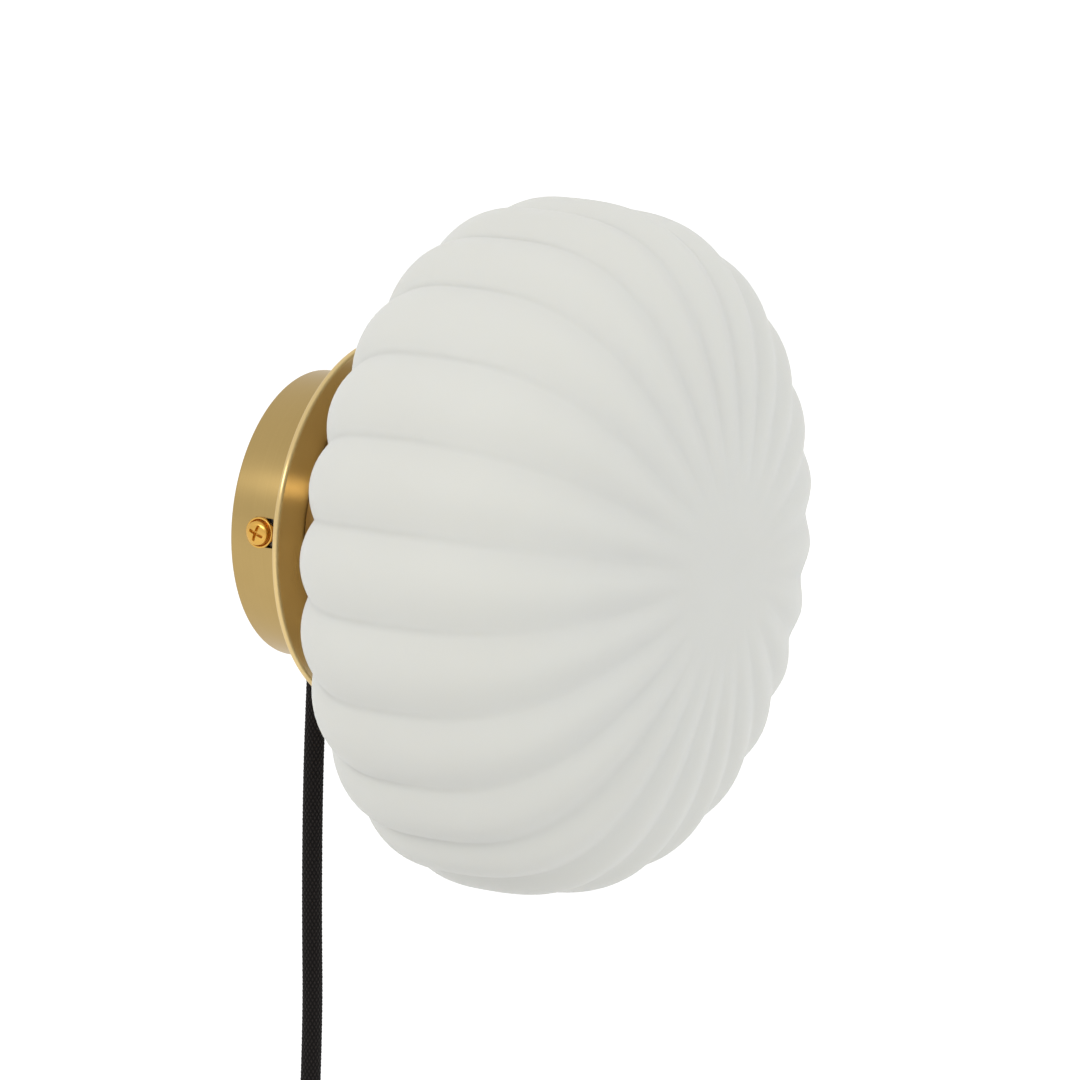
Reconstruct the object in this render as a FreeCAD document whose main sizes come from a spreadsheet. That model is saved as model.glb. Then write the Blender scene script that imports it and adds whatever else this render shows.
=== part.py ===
"""Wall sconce: a ribbed opal glass shade on a brass wall cup, with its cord, switch and plug.

Millimetres. The wall is the plane Y = 0, the lamp's axis runs along -Y into the room, +Z is up.
A distance 'off the wall' is -Y. The origin is the middle of the cup's back, on the wall.
"""
import FreeCAD, Part
import math
import os
import re
import Sketcher
from FreeCAD import Placement, Rotation, Vector

# The driving dimensions: name, value, what it is.
SIZES = [
    ("cup_radius", 42.5, "outside of the brass wall cup"),
    ("cup_wall", 1.5, "thickness of the cup's side"),
    ("cup_floor", 1.5, "thickness of the cup's floor on the wall"),
    ("cup_depth", 21.6, "depth of the cup"),
    ("cup_edge", 0.8, "rounded edge of the cup at the wall"),
    ("floor_hole", 21.0, "radius of the hole in the cup's floor"),
    ("slot_spacing", 60.0, "between the middles of the two wall screw slots"),
    ("slot_width", 4.8, "width of a wall screw slot"),
    ("slot_length", 9.0, "overall length of a wall screw slot"),
    ("window_height", 8.6, "height of the window for a side screw"),
    ("window_back", 8.4, "back end of that window off the wall"),
    ("window_length", 6.2, "length of that window"),
    ("side_screw_off", 10.6, "side screws off the wall"),
    ("side_screw_radius", 1.95, "shank of a side screw, M4"),
    ("side_screw_reach", 8.0, "length of a side screw under its head"),
    ("side_head_radius", 3.45, "head of a side screw"),
    ("side_head_height", 2.4, "height of that head"),
    ("recess_width", 0.9, "width of a cross recess"),
    ("washer_radius", 4.5, "cup washer under a side screw"),
    ("washer_sheet", 0.7, "thickness of that washer"),
    ("washer_rim", 0.45, "height of that washer's raised rim"),
    ("nut_radius", 3.4, "body of a rivet nut in the collar"),
    ("nut_length", 5.0, "length of a rivet nut inside the collar"),
    ("thread_clearance", 0.05, "radial play of a screw in its thread"),
    ("hole_clearance", 0.25, "radial play of a screw in a plain hole"),
    ("plate_gap", 0.4, "between the cup's front edge and the plate"),
    ("plate_radius", 54.5, "outside of the front plate"),
    ("plate_sheet", 1.2, "thickness of the front plate"),
    ("bead_radius", 0.95, "rolled bead round the plate"),
    ("collar_gap", 0.3, "between the collar and the cup"),
    ("collar_sheet", 1.2, "thickness of the collar"),
    ("collar_back", 5.0, "back edge of the collar off the wall"),
    ("ring_gap", 0.3, "between the glass neck and the shade ring"),
    ("ring_wall", 2.0, "thickness of the shade ring"),
    ("ring_flange", 1.2, "thickness of the shade ring's flange"),
    ("ring_height", 11.0, "height of the shade ring"),
    ("ring_breadth", 11.0, "from the glass neck in to the bore of the ring's and collar's flanges"),
    ("ring_screw_inset", 4.2, "circle of ring screws inside the bore of the glass neck"),
    ("ring_screw_radius", 1.45, "shank of a ring screw, M3"),
    ("ring_screw_length", 5.6, "length of a ring screw under its head"),
    ("small_head_radius", 2.75, "head of an M3 screw"),
    ("small_head_height", 1.8, "height of that head"),
    ("seat_gap", 0.3, "between pieces that turn or lift on each other"),
    ("gasket_thickness", 2.0, "silicone gasket under the glass neck"),
    ("shade_radius", 100.0, "shade over the crests of its ribs"),
    ("shade_off", 80.0, "widest section of the shade off the wall"),
    ("shade_front", 59.5, "from the widest section to the front"),
    ("shade_back", 44.5, "from the widest section to the back"),
    ("front_roundness", 2.8, "exponent of the front's section"),
    ("back_roundness", 2.5, "exponent of the back's section"),
    ("rib_count", 24, "ribs round the shade"),
    ("rib_depth", 3.6, "from a crest to a valley at the widest section"),
    ("rib_turn", 6.0, "first valley over the horizontal, in degrees"),
    ("smooth_front", 14.0, "radius of the plain middle of the front"),
    ("full_front", 50.0, "radius at which the ribs have their full depth"),
    ("glass", 3.2, "thickness of the glass in a valley"),
    ("neck_radius", 37.0, "outside of the glass neck"),
    ("neck_shoulder", 4.0, "breadth of the plain shoulder round the neck"),
    ("neck_fillet", 2.5, "fillet between the neck and the shoulder"),
    ("neck_lip", 0.8, "rounded edge of the neck"),
    ("nipple_radius", 5.0, "threaded tube through the plate"),
    ("nipple_bore", 3.6, "bore of that tube"),
    ("nipple_back", 15.0, "back end of the tube off the wall"),
    ("nipple_length", 14.2, "length of the tube"),
    ("nipple_flats", 14.0, "nuts on the tube, across the flats"),
    ("nipple_nut", 3.0, "thickness of those nuts"),
    ("bracket_sheet", 1.2, "thickness of the lampholder bracket"),
    ("bracket_width", 13.0, "width of that bracket"),
    ("bracket_leg", 17.0, "length of the bracket's legs"),
    ("holder_radius", 10.5, "ceramic lampholder"),
    ("holder_length", 17.4, "length of the lampholder"),
    ("holder_edge", 1.2, "chamfer of the lampholder"),
    ("pin_spacing", 9.0, "between the bulb's two pins"),
    ("socket_width", 2.4, "width of a pin socket"),
    ("socket_height", 6.6, "height of a pin socket"),
    ("socket_depth", 9.0, "depth of a pin socket"),
    ("bulb_neck", 7.0, "bulb base at the lampholder"),
    ("bulb_radius", 9.3, "bulb cover"),
    ("bulb_base_length", 12.5, "length of the bulb's base"),
    ("bulb_cover_length", 38.0, "length of the bulb's cover"),
    ("bulb_pin_radius", 0.55, "wire of a bulb pin"),
    ("bulb_pin_spread", 2.1, "half the breadth of a looped pin"),
    ("bulb_pin_length", 7.4, "length of a pin outside the base"),
    ("cord_radius", 3.1, "textile covered cord"),
    ("cord_off", 4.7, "cord's middle off the wall where it leaves the cup"),
    ("cord_play", 0.1, "between the cord and a bore that it passes"),
    ("bush_wall", 1.1, "thickness of the rubber bush round the cord"),
    ("bush_flange", 1.3, "breadth of that bush's flanges"),
    ("bush_flange_thickness", 1.4, "thickness of those flanges"),
    ("clamp_inset", 10.0, "middle of the clamp inside the cup's side"),
    ("clamp_breadth", 23.0, "breadth of the clamp"),
    ("clamp_height", 6.5, "height of the clamp along the cord"),
    ("clamp_thickness", 9.0, "thickness of the clamp off the floor"),
    ("clamp_screw_reach", 7.4, "between the clamp's screws and its middle"),
    ("block_up", 22.0, "lower face of the terminal block over the axis"),
    ("block_width", 19.0, "width of the terminal block"),
    ("block_height", 12.0, "height of the terminal block"),
    ("block_thickness", 11.0, "thickness of the terminal block"),
    ("core_radius", 1.1, "insulated core of the cord"),
    ("switch_down", 223.0, "middle of the switch below the axis"),
    ("switch_length", 62.0, "length of the switch"),
    ("switch_width", 25.0, "width of the switch"),
    ("switch_back", 0.6, "back of the switch off the wall"),
    ("switch_split", 9.0, "joint of its halves, and the cord, off the wall"),
    ("switch_front", 18.0, "front of the switch off the wall"),
    ("switch_corner", 10.0, "corner radius of the switch"),
    ("switch_wall", 1.6, "wall of the switch"),
    ("switch_round", 2.4, "rounded front edge of the switch"),
    ("rocker_length", 20.0, "length of the rocker"),
    ("rocker_width", 10.0, "width of the rocker"),
    ("rocker_gap", 0.45, "play beside the rocker"),
    ("rocker_swing", 1.1, "play beyond the rocker's ends, which swing out as it tips"),
    ("rocker_pivot", 14.0, "rocker's axle off the wall"),
    ("rocker_tilt", 8.0, "half of the rocker's travel, in degrees"),
    ("axle_radius", 1.2, "rocker's axle"),
    ("coil_down", 304.0, "middle of the coil below the axis"),
    ("coil_off", 3.8, "middle of the coil's first layer off the wall"),
    ("coil_radius", 49.6, "middle of the cord in the coil's outer turn"),
    ("coil_pitch", 6.65, "from one turn to the next"),
    ("coil_turns", 8, "turns in the coil, in two layers"),
    ("tie_width", 10.0, "width of the tie round the coil"),
    ("tie_thickness", 1.0, "thickness of the tie"),
    ("tail_length", 40.0, "cord from the coil's middle to the plug's sleeve"),
    ("sleeve_length", 26.0, "flexible sleeve on the plug"),
    ("plug_length", 36.0, "plug body"),
    ("plug_width", 35.0, "plug body at its face"),
    ("plug_thickness", 13.6, "thickness of the plug body"),
    ("plug_corner", 4.0, "corner radius of the plug body"),
    ("mains_pin_radius", 2.0, "mains pin"),
    ("mains_pin_length", 19.0, "length of a mains pin"),
    ("mains_pin_spacing", 18.6, "between the two mains pins"),
]

doc = FreeCAD.newDocument("wall_sconce")
sizes = doc.addObject("Spreadsheet::Sheet", "Sizes")
for row, (alias, value, note) in enumerate(SIZES, 1):
    sizes.set(f"A{row}", alias)
    sizes.set(f"B{row}", str(value))
    sizes.setAlias(f"B{row}", alias)
    sizes.set(f"C{row}", note)
doc.recompute()

SIZE_NAME = re.compile(r"\b(" + "|".join(alias for alias, _, _ in SIZES) + r")\b")
pieces = []


# Places that several pieces share, as expressions of the sizes.
PLATE_BACK = "(cup_depth + plate_gap)"
PLATE_FRONT = f"({PLATE_BACK} + plate_sheet)"
RING_INSIDE = "(neck_radius + ring_gap)"
RING_SEAT = f"({PLATE_FRONT} + ring_flange)"
NECK_END = f"({RING_SEAT} + gasket_thickness + 2 * seat_gap)"
COLLAR_OUTSIDE = "(cup_radius - cup_wall - collar_gap)"
NOTCH_RADIUS = "(cord_radius + cord_play + bush_wall)"
CLAMP_DOWN = "(cup_radius - cup_wall - clamp_inset)"
RING_SCREW_CIRCLE = "(neck_radius - glass - ring_screw_inset)"
RING_BORE = "(neck_radius - ring_breadth)"
BRACKET_LEG_OUTSIDE = "(holder_radius + 0.1 + bracket_sheet)"
HOLDER_BACK = "(nipple_back + nipple_length + 0.4)"
HOLDER_FRONT = f"({HOLDER_BACK} + holder_length)"
HOLDER_SCREW = f"({HOLDER_BACK} + 6.4)"
BULB_BACK = f"({HOLDER_FRONT} + seat_gap)"
BULB_JOINT = f"({BULB_BACK} + bulb_base_length)"
SWITCH_TOP = "(0 - switch_down + switch_length / 2)"
SWITCH_BOTTOM = "(0 - switch_down - switch_length / 2)"
TAIL_OFF = "(coil_off + coil_pitch)"
SLEEVE_TOP = "(0 - coil_down - tail_length)"
PLUG_TOP = f"({SLEEVE_TOP} - sleeve_length)"
PLUG_FACE = f"({PLUG_TOP} - plug_length)"


def bound(expression):
    """The expression with each size's name pointing at its cell"""
    return SIZE_NAME.sub(r"Sizes.\1", str(expression))


def mm(expression):
    """The expression's value"""
    return float(sizes.evalExpression(bound(expression)))


def bind(thing, **expressions):
    for name, expression in expressions.items():
        thing.setExpression(name, bound(expression))


def place(thing, x=0, off=0, z=0, turn=None):
    """Stand a thing at x, at a distance off the wall, and at z"""
    if turn:
        thing.Placement = Placement(Vector(), turn)
    thing.setExpression("Placement.Base.x", bound(x))
    thing.setExpression("Placement.Base.y", bound(f"0 - ({off})"))
    thing.setExpression("Placement.Base.z", bound(z))


def piece(thing, label):
    """Name a finished sub-part"""
    thing.Label = label
    pieces.append(thing)
    return thing


TO_ROOM = Rotation(Vector(1, 0, 0), 90)
TO_WALL = Rotation(Vector(1, 0, 0), -90)
TO_RIGHT = Rotation(Vector(0, 1, 0), 90)
TO_LEFT = Rotation(Vector(0, 1, 0), -90)


# Sketches and the features made from them

def add_outline(drawing, corners):
    """Draw a closed outline. A corner is (x, y), or (x, y, bend) where an arc of that radius follows,
    to the left of the way for a positive bend and to the right for a negative one."""
    spots = [Vector(mm(corner[0]), mm(corner[1]), 0) for corner in corners]
    edges = []
    for index, corner in enumerate(corners):
        start = spots[index]
        stop = spots[(index + 1) % len(spots)]
        if len(corner) == 2:
            edges.append((drawing.addGeometry(Part.LineSegment(start, stop), False), 1, 2))
            continue
        bend = mm(corner[2])
        half = (stop - start) / 2
        rise = math.sqrt(max(bend ** 2 - half.Length ** 2, 0))
        side = Vector(-half.y, half.x, 0).normalize() * math.copysign(rise, bend)
        centre = start + half + side
        first, last = (start, stop) if bend > 0 else (stop, start)
        angles = [math.atan2(end.y - centre.y, end.x - centre.x) for end in (first, last)]
        circle = Part.Circle(centre, Vector(0, 0, 1), abs(bend))
        arc = drawing.addGeometry(Part.ArcOfCircle(circle, *angles), False)
        edges.append((arc, 1, 2) if bend > 0 else (arc, 2, 1))
        radius = drawing.addConstraint(Sketcher.Constraint("Radius", arc, abs(bend)))
        drawing.setExpression(f"Constraints[{radius}]", bound(f"abs({corner[2]})"))
    for index, (edge, start, stop) in enumerate(edges):
        next_edge, next_start, _ = edges[(index + 1) % len(edges)]
        drawing.addConstraint(Sketcher.Constraint("Coincident", edge, stop, next_edge, next_start))
        pin_down(drawing, edge, start, corners[index], spots[index])


def pin_down(drawing, edge, end, corner, spot):
    """Hold the end of an edge at its corner's place"""
    for kind, axis, expression, value in (("DistanceX", -2, corner[0], spot.x),
                                          ("DistanceY", -1, corner[1], spot.y)):
        if abs(value) < 1e-9:
            drawing.addConstraint(Sketcher.Constraint("PointOnObject", edge, end, axis))
            continue
        held = drawing.addConstraint(Sketcher.Constraint(kind, -1, 1, edge, end, value))
        drawing.setExpression(f"Constraints[{held}]", bound(expression))


def add_circle(drawing, x, y, radius):
    circle = Part.Circle(Vector(mm(x), mm(y), 0), Vector(0, 0, 1), mm(radius))
    edge = drawing.addGeometry(circle, False)
    held = drawing.addConstraint(Sketcher.Constraint("Radius", edge, mm(radius)))
    drawing.setExpression(f"Constraints[{held}]", bound(radius))
    pin_down(drawing, edge, 3, (x, y), Vector(mm(x), mm(y), 0))


def sketch(body, plane, offset=0):
    drawing = body.newObject("Sketcher::SketchObject", "drawing")
    planes = {item.Role: item for item in body.Origin.OriginFeatures}
    drawing.AttachmentSupport = [(planes[plane], "")]
    drawing.MapMode = "FlatFace"
    drawing.setExpression("AttachmentOffset.Base.z", bound(offset))
    return drawing


def turned(corners, label=None):
    """A piece turned about the lamp's axis, from corners (radius, off the wall[, bend])"""
    body = doc.addObject("PartDesign::Body", label or "turned")
    drawing = sketch(body, "XY_Plane")
    flipped = [(corner[0], f"0 - ({corner[1]})", *[f"0 - ({bend})" for bend in corner[2:]])
               for corner in corners]
    add_outline(drawing, flipped)
    turning = body.newObject("PartDesign::Revolution", "turning")
    turning.Profile = drawing
    turning.ReferenceAxis = (drawing, ["V_Axis"])
    turning.Angle = 360
    body.Tip = turning
    doc.recompute()
    return body


def pad(body, drawing, length, both=False, reverse=False):
    thick = body.newObject("PartDesign::Pad", "pad")
    thick.Profile = drawing
    thick.SideType = "Symmetric" if both else "One side"
    thick.Reversed = reverse
    bind(thick, Length=length)
    body.Tip = thick
    doc.recompute()
    return thick


def pocket(body, drawing, length, both=True, reverse=False):
    """Cut the drawing's outline out of the body, and make sure that it cut"""
    before = body.Shape.Volume
    hollow = body.newObject("PartDesign::Pocket", "pocket")
    hollow.Profile = drawing
    hollow.SideType = "Symmetric" if both else "One side"
    hollow.Reversed = reverse
    bind(hollow, Length=length)
    body.Tip = hollow
    doc.recompute()
    if body.Shape.Volume > before - 1e-6:
        raise ValueError(f"a pocket in {body.Label} cuts nothing")
    return hollow


def around(body, feature, count):
    """Repeat a feature round the lamp's axis"""
    pattern = body.newObject("PartDesign::PolarPattern", "pattern")
    pattern.Originals = [feature]
    pattern.Axis = ([item for item in body.Origin.OriginFeatures if item.Role == "Y_Axis"][0], [""])
    pattern.Angle = 360
    pattern.Occurrences = count
    body.Tip = pattern
    doc.recompute()


def box_corners(left, right, low, high):
    return [(left, low), (right, low), (right, high), (left, high)]


def round_corners(left, right, low, high, radius):
    """A rectangle with round corners"""
    return [(f"{left} + {radius}", low), (f"{right} - {radius}", low, radius),
            (right, f"{low} + {radius}"), (right, f"{high} - {radius}", radius),
            (f"{right} - {radius}", high), (f"{left} + {radius}", high, radius),
            (left, f"{high} - {radius}"), (left, f"{low} + {radius}", radius)]


def slot_corners(middle, length, width):
    """A slot with round ends, along x, about (middle, 0)"""
    left = f"({middle}) - ({length}) / 2"
    right = f"({middle}) + ({length}) / 2"
    bend = f"({width}) / 2"
    return [(f"{left} + {bend}", f"0 - {bend}"), (f"{right} - {bend}", f"0 - {bend}", bend),
            (right, 0, bend), (f"{right} - {bend}", bend), (f"{left} + {bend}", bend, bend),
            (left, 0, bend)]


# Part primitives

def cylinder(radius, height, x=0, off=0, z=0, turn=None):
    thing = doc.addObject("Part::Cylinder", "cylinder")
    bind(thing, Radius=radius, Height=height)
    place(thing, x, off, z, turn)
    return thing


def cone(radius, top, height, x=0, off=0, z=0, turn=None):
    thing = doc.addObject("Part::Cone", "cone")
    bind(thing, Radius1=radius, Radius2=top, Height=height)
    place(thing, x, off, z, turn)
    return thing


def block(width, thickness, height, x, off, z):
    """A box that is centred on x, and whose front and lower faces are off the wall and at z"""
    thing = doc.addObject("Part::Box", "block")
    bind(thing, Length=width, Width=thickness, Height=height)
    place(thing, f"{x} - ({width}) / 2", off, z)
    return thing


def fuse(*things):
    whole = doc.addObject("Part::MultiFuse", "whole")
    whole.Shapes = list(things)
    return whole


def cut(base, *tools):
    for tool in tools:
        rest = doc.addObject("Part::Cut", "rest")
        rest.Base = base
        rest.Tool = tool
        base = rest
    return base


def group(label, things):
    """Like pieces that share a node as separate solids"""
    whole = doc.addObject("Part::Compound", label)
    whole.Links = list(things)
    return piece(whole, label)


def pan_screw(head_radius, head_height, shank_radius, length, x, off, z, turn, recess=False):
    """A pan head screw whose head stands on (x, off, z) and whose shank goes the other way"""
    rim = cylinder(head_radius, f"{head_height} / 2")
    dome = cone(head_radius, f"{head_radius} * 0.7", f"{head_height} / 2", z=f"{head_height} / 2")
    shank = cylinder(shank_radius, length, z=f"0 - ({length})")
    screw = fuse(rim, dome, shank)
    if recess:
        across = f"{head_radius} * 1.15"
        bar = block(across, "recess_width", head_height, 0, "recess_width / 2", f"{head_height} * 0.45")
        other = block("recess_width", across, head_height, 0, f"({across}) / 2",
                      f"{head_height} * 0.45")
        screw = cut(screw, bar, other)
    place(screw, x, off, z, turn)
    return screw


# The wall cup, the front plate and what joins them

def make_wall_cup():
    """Spun brass cup, screwed to the wall through two slots in its floor"""
    body = turned([("floor_hole", 0), ("cup_radius - cup_edge", 0, "cup_edge"),
                   ("cup_radius", "cup_edge"), ("cup_radius", "cup_depth"),
                   ("cup_radius - cup_wall", "cup_depth"), ("cup_radius - cup_wall", "cup_floor"),
                   ("floor_hole", "cup_floor")], "wall_cup")
    slots = sketch(body, "XZ_Plane")
    add_outline(slots, slot_corners("slot_spacing / 2", "slot_length", "slot_width"))
    add_outline(slots, slot_corners("0 - slot_spacing / 2", "slot_length", "slot_width"))
    pocket(body, slots, "4 * cup_floor")
    windows = sketch(body, "YZ_Plane")
    add_outline(windows, box_corners("0 - window_back - window_length", "0 - window_back",
                                     "0 - window_height / 2", "window_height / 2"))
    pocket(body, windows, "4 * cup_radius")
    notch = sketch(body, "XY_Plane", f"0 - {CLAMP_DOWN} - clamp_height / 2 - 1.5")
    add_outline(notch, [(f"0 - {NOTCH_RADIUS}", "cup_floor"), (f"0 - {NOTCH_RADIUS}", "0 - cord_off",
                                                               NOTCH_RADIUS),
                        (0, f"0 - cord_off - {NOTCH_RADIUS}", NOTCH_RADIUS),
                        (NOTCH_RADIUS, "0 - cord_off"), (NOTCH_RADIUS, "cup_floor")])
    pocket(body, notch, "cup_radius", both=False)
    taps = sketch(body, "XZ_Plane")
    for side in (-1, 1):
        add_circle(taps, f"{side} * clamp_screw_reach", f"0 - {CLAMP_DOWN}",
                   "ring_screw_radius + thread_clearance")
    pocket(body, taps, "4 * cup_floor")
    piece(body, "wall_cup")


def make_front_plate():
    """Spun brass disc with a rolled bead round its edge"""
    bead_in = "sqrt(bead_radius ^ 2 - (plate_sheet - bead_radius) ^ 2)"
    body = turned([("nipple_radius + hole_clearance", PLATE_BACK),
                   ("plate_radius - bead_radius", PLATE_BACK, "bead_radius"),
                   ("plate_radius", f"{PLATE_BACK} + bead_radius", "bead_radius"),
                   ("plate_radius - bead_radius", f"{PLATE_BACK} + 2 * bead_radius", "bead_radius"),
                   (f"plate_radius - bead_radius - {bead_in}", PLATE_FRONT),
                   ("nipple_radius + hole_clearance", PLATE_FRONT)], "front_plate")
    drill_ring_holes(body, "ring_screw_radius + hole_clearance")
    piece(body, "front_plate")


def drill_ring_holes(body, radius):
    """The three holes for the ring screws"""
    hole = sketch(body, "XZ_Plane")
    add_circle(hole, 0, RING_SCREW_CIRCLE, radius)
    around(body, pocket(body, hole, f"4 * {PLATE_FRONT}"), 3)


def make_inner_collar():
    """Steel collar behind the plate, which fits inside the cup"""
    body = turned([(RING_BORE, PLATE_BACK), (RING_BORE, f"{PLATE_BACK} - collar_sheet"),
                   (f"{COLLAR_OUTSIDE} - collar_sheet", f"{PLATE_BACK} - collar_sheet"),
                   (f"{COLLAR_OUTSIDE} - collar_sheet", "collar_back"),
                   (COLLAR_OUTSIDE, "collar_back"), (COLLAR_OUTSIDE, PLATE_BACK)], "inner_collar")
    drill_ring_holes(body, "ring_screw_radius + thread_clearance")
    sides = sketch(body, "YZ_Plane")
    add_circle(sides, "0 - side_screw_off", 0, "nut_radius")
    pocket(body, sides, "4 * cup_radius")
    relief = sketch(body, "XY_Plane", f"0 - {RING_BORE}")
    room = f"({NOTCH_RADIUS} + bush_flange + 0.5)"
    add_outline(relief, box_corners(f"0 - {room}", room, f"0 - cord_off - {room}", "0 - 1"))
    pocket(body, relief, "cup_radius", both=False)
    piece(body, "inner_collar")


def make_collar_nuts():
    """Rivet nuts in the collar, which take the side screws"""
    nuts = []
    for side, turn in ((-1, TO_RIGHT), (1, TO_LEFT)):
        barrel = cylinder("nut_radius - 0.05", f"nut_length + collar_sheet", f"{side} * {COLLAR_OUTSIDE}",
                          "side_screw_off", 0, turn)
        seat = f"(sqrt(({COLLAR_OUTSIDE} - collar_sheet) ^ 2 - (nut_radius + 0.9) ^ 2) - 0.05)"
        flange = cylinder("nut_radius + 0.9", "0.8", f"{side} * {seat}", "side_screw_off", 0, turn)
        bore = cylinder("side_screw_radius + thread_clearance", "4 * nut_length",
                        f"{side} * cup_radius", "side_screw_off", 0, turn)
        nuts.append(cut(fuse(barrel, flange), bore))
    group("collar_nuts", nuts)


def make_side_screws():
    """Pan head screws at nine and three o'clock, each on a cup washer over its window"""
    screws = []
    washers = []
    for side, turn in ((-1, TO_LEFT), (1, TO_RIGHT)):
        seat = f"{side} * (cup_radius + washer_sheet)"
        screws.append(pan_screw("side_head_radius", "side_head_height", "side_screw_radius",
                                "side_screw_reach", seat, "side_screw_off", 0, turn, True))
        disc = cylinder("washer_radius", "washer_sheet + washer_rim")
        dish = cone("side_head_radius + 0.15", "washer_radius - 0.3", "washer_rim + 0.02",
                    z="washer_sheet")
        bore = cylinder("side_screw_radius + hole_clearance", "4 * washer_sheet", z="0 - washer_sheet")
        washer = cut(disc, dish, bore)
        place(washer, f"{side} * cup_radius", "side_screw_off", 0, turn)
        washers.append(washer)
    group("side_screws", screws)
    group("side_washers", washers)


def make_shade_ring():
    """Brass ring on the plate, into which the glass neck screws"""
    outside = f"{RING_INSIDE} + ring_wall"
    front = f"{PLATE_FRONT} + ring_height"
    body = turned([(RING_BORE, PLATE_FRONT), (outside, PLATE_FRONT), (outside, f"{front} - 0.5"),
                   (f"{outside} - 0.5", front), (f"{RING_INSIDE} + 0.5", front),
                   (RING_INSIDE, f"{front} - 0.5"), (RING_INSIDE, RING_SEAT), (RING_BORE, RING_SEAT)],
                  "shade_ring")
    drill_ring_holes(body, "ring_screw_radius + hole_clearance")
    piece(body, "shade_ring")
    screws = []
    for angle in (90, 210, 330):
        screws.append(pan_screw("small_head_radius", "small_head_height", "ring_screw_radius",
                                "ring_screw_length", f"{RING_SCREW_CIRCLE} * cos({angle})", RING_SEAT,
                                f"{RING_SCREW_CIRCLE} * sin({angle})", TO_ROOM))
    group("ring_screws", screws)


def make_gasket():
    """Silicone ring on the seat of the shade ring, under the glass neck"""
    back = f"{RING_SEAT} + seat_gap"
    inside = "neck_radius - glass - 0.2"
    body = turned([(inside, back), (f"{RING_INSIDE} - seat_gap", back),
                   (f"{RING_INSIDE} - seat_gap", f"{back} + gasket_thickness"),
                   (inside, f"{back} + gasket_thickness")], "gasket")
    piece(body, "gasket")


# The glass shade

def section_point(angle, radius, front, back):
    """Point (radius, forward) and outward direction of the shade's section at an angle, from
    |radius / R| ^ n + |forward / depth| ^ n = 1 with its own depth and n before and behind"""
    depth = front if angle >= 0 else back
    power = mm("front_roundness") if angle >= 0 else mm("back_roundness")
    across = abs(math.cos(angle)) / radius
    along = abs(math.sin(angle)) / depth
    reach = (across ** power + along ** power) ** (-1 / power)
    point = Vector(reach * math.cos(angle), reach * math.sin(angle), 0)
    outward = Vector((point.x / radius) ** (power - 1) / radius,
                     math.copysign((abs(point.y) / depth) ** (power - 1) / depth, angle), 0)
    return point, outward.normalize()


def section_angle(distance, radius, depth, power):
    """Angle at which the section is at a distance from the axis"""
    forward = abs(depth) * (1 - (distance / radius) ** power) ** (1 / power)
    return math.copysign(math.atan2(forward, distance), depth)


def eased(low, value, high):
    """0 below low, 1 above high, and smooth between"""
    share = min(max((value - low) / (high - low), 0), 1)
    return share * share * (3 - 2 * share)


def ribbed_form():
    """The shade's outside as a solid: one rib is a smooth face over a grid, repeated round the axis,
    and a flat closes each end"""
    radius, front, back = mm("shade_radius"), mm("shade_front"), mm("shade_back")
    root = mm("neck_radius + neck_shoulder")
    start = section_angle(root, radius, -back, mm("back_roundness"))
    stop = section_angle(mm("smooth_front"), radius, front, mm("front_roundness"))
    ribs = int(mm("rib_count"))
    steps = 14
    grid = []
    for step in range(steps + 1):
        angle = start + (stop - start) * step / steps
        point, outward = section_point(angle, radius, front, back)
        if angle > 0:
            share = eased(mm("smooth_front"), point.x, mm("full_front"))
        else:
            share = eased(root, point.x, root + 3 * mm("neck_shoulder"))
        depth = mm("rib_depth") * point.x / radius * share
        row = []
        for across in (-1, -0.5, 0, 0.5, 1):
            spot = point - outward * depth * across ** 2
            turn = (0.5 * across + 0.5) * 2 * math.pi / ribs + math.radians(mm("rib_turn"))
            row.append(Vector(spot.x * math.cos(turn), -mm("shade_off") - spot.y,
                              spot.x * math.sin(turn)))
        grid.append(row)
    rib = Part.BSplineSurface()
    rib.interpolate(grid)
    faces = []
    for index in range(ribs):
        face = rib.toShape()
        face.rotate(Vector(), Vector(0, 1, 0), 360 / ribs * index)
        faces.append(face)
    for level in (grid[0][0].y, grid[-1][0].y):
        rim = [edge for face in faces[:ribs] for edge in face.Edges
               if abs(edge.BoundBox.YMin - level) < 1e-4 and abs(edge.BoundBox.YMax - level) < 1e-4]
        faces.append(Part.Face(Part.Wire(Part.__sortEdges__(rim))))
    shell = Part.makeCompound(faces)
    shell.sewShape()
    solid = Part.Solid(shell.Shells[0])
    if solid.Volume < 0:
        solid.reverse()
    return solid


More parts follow.
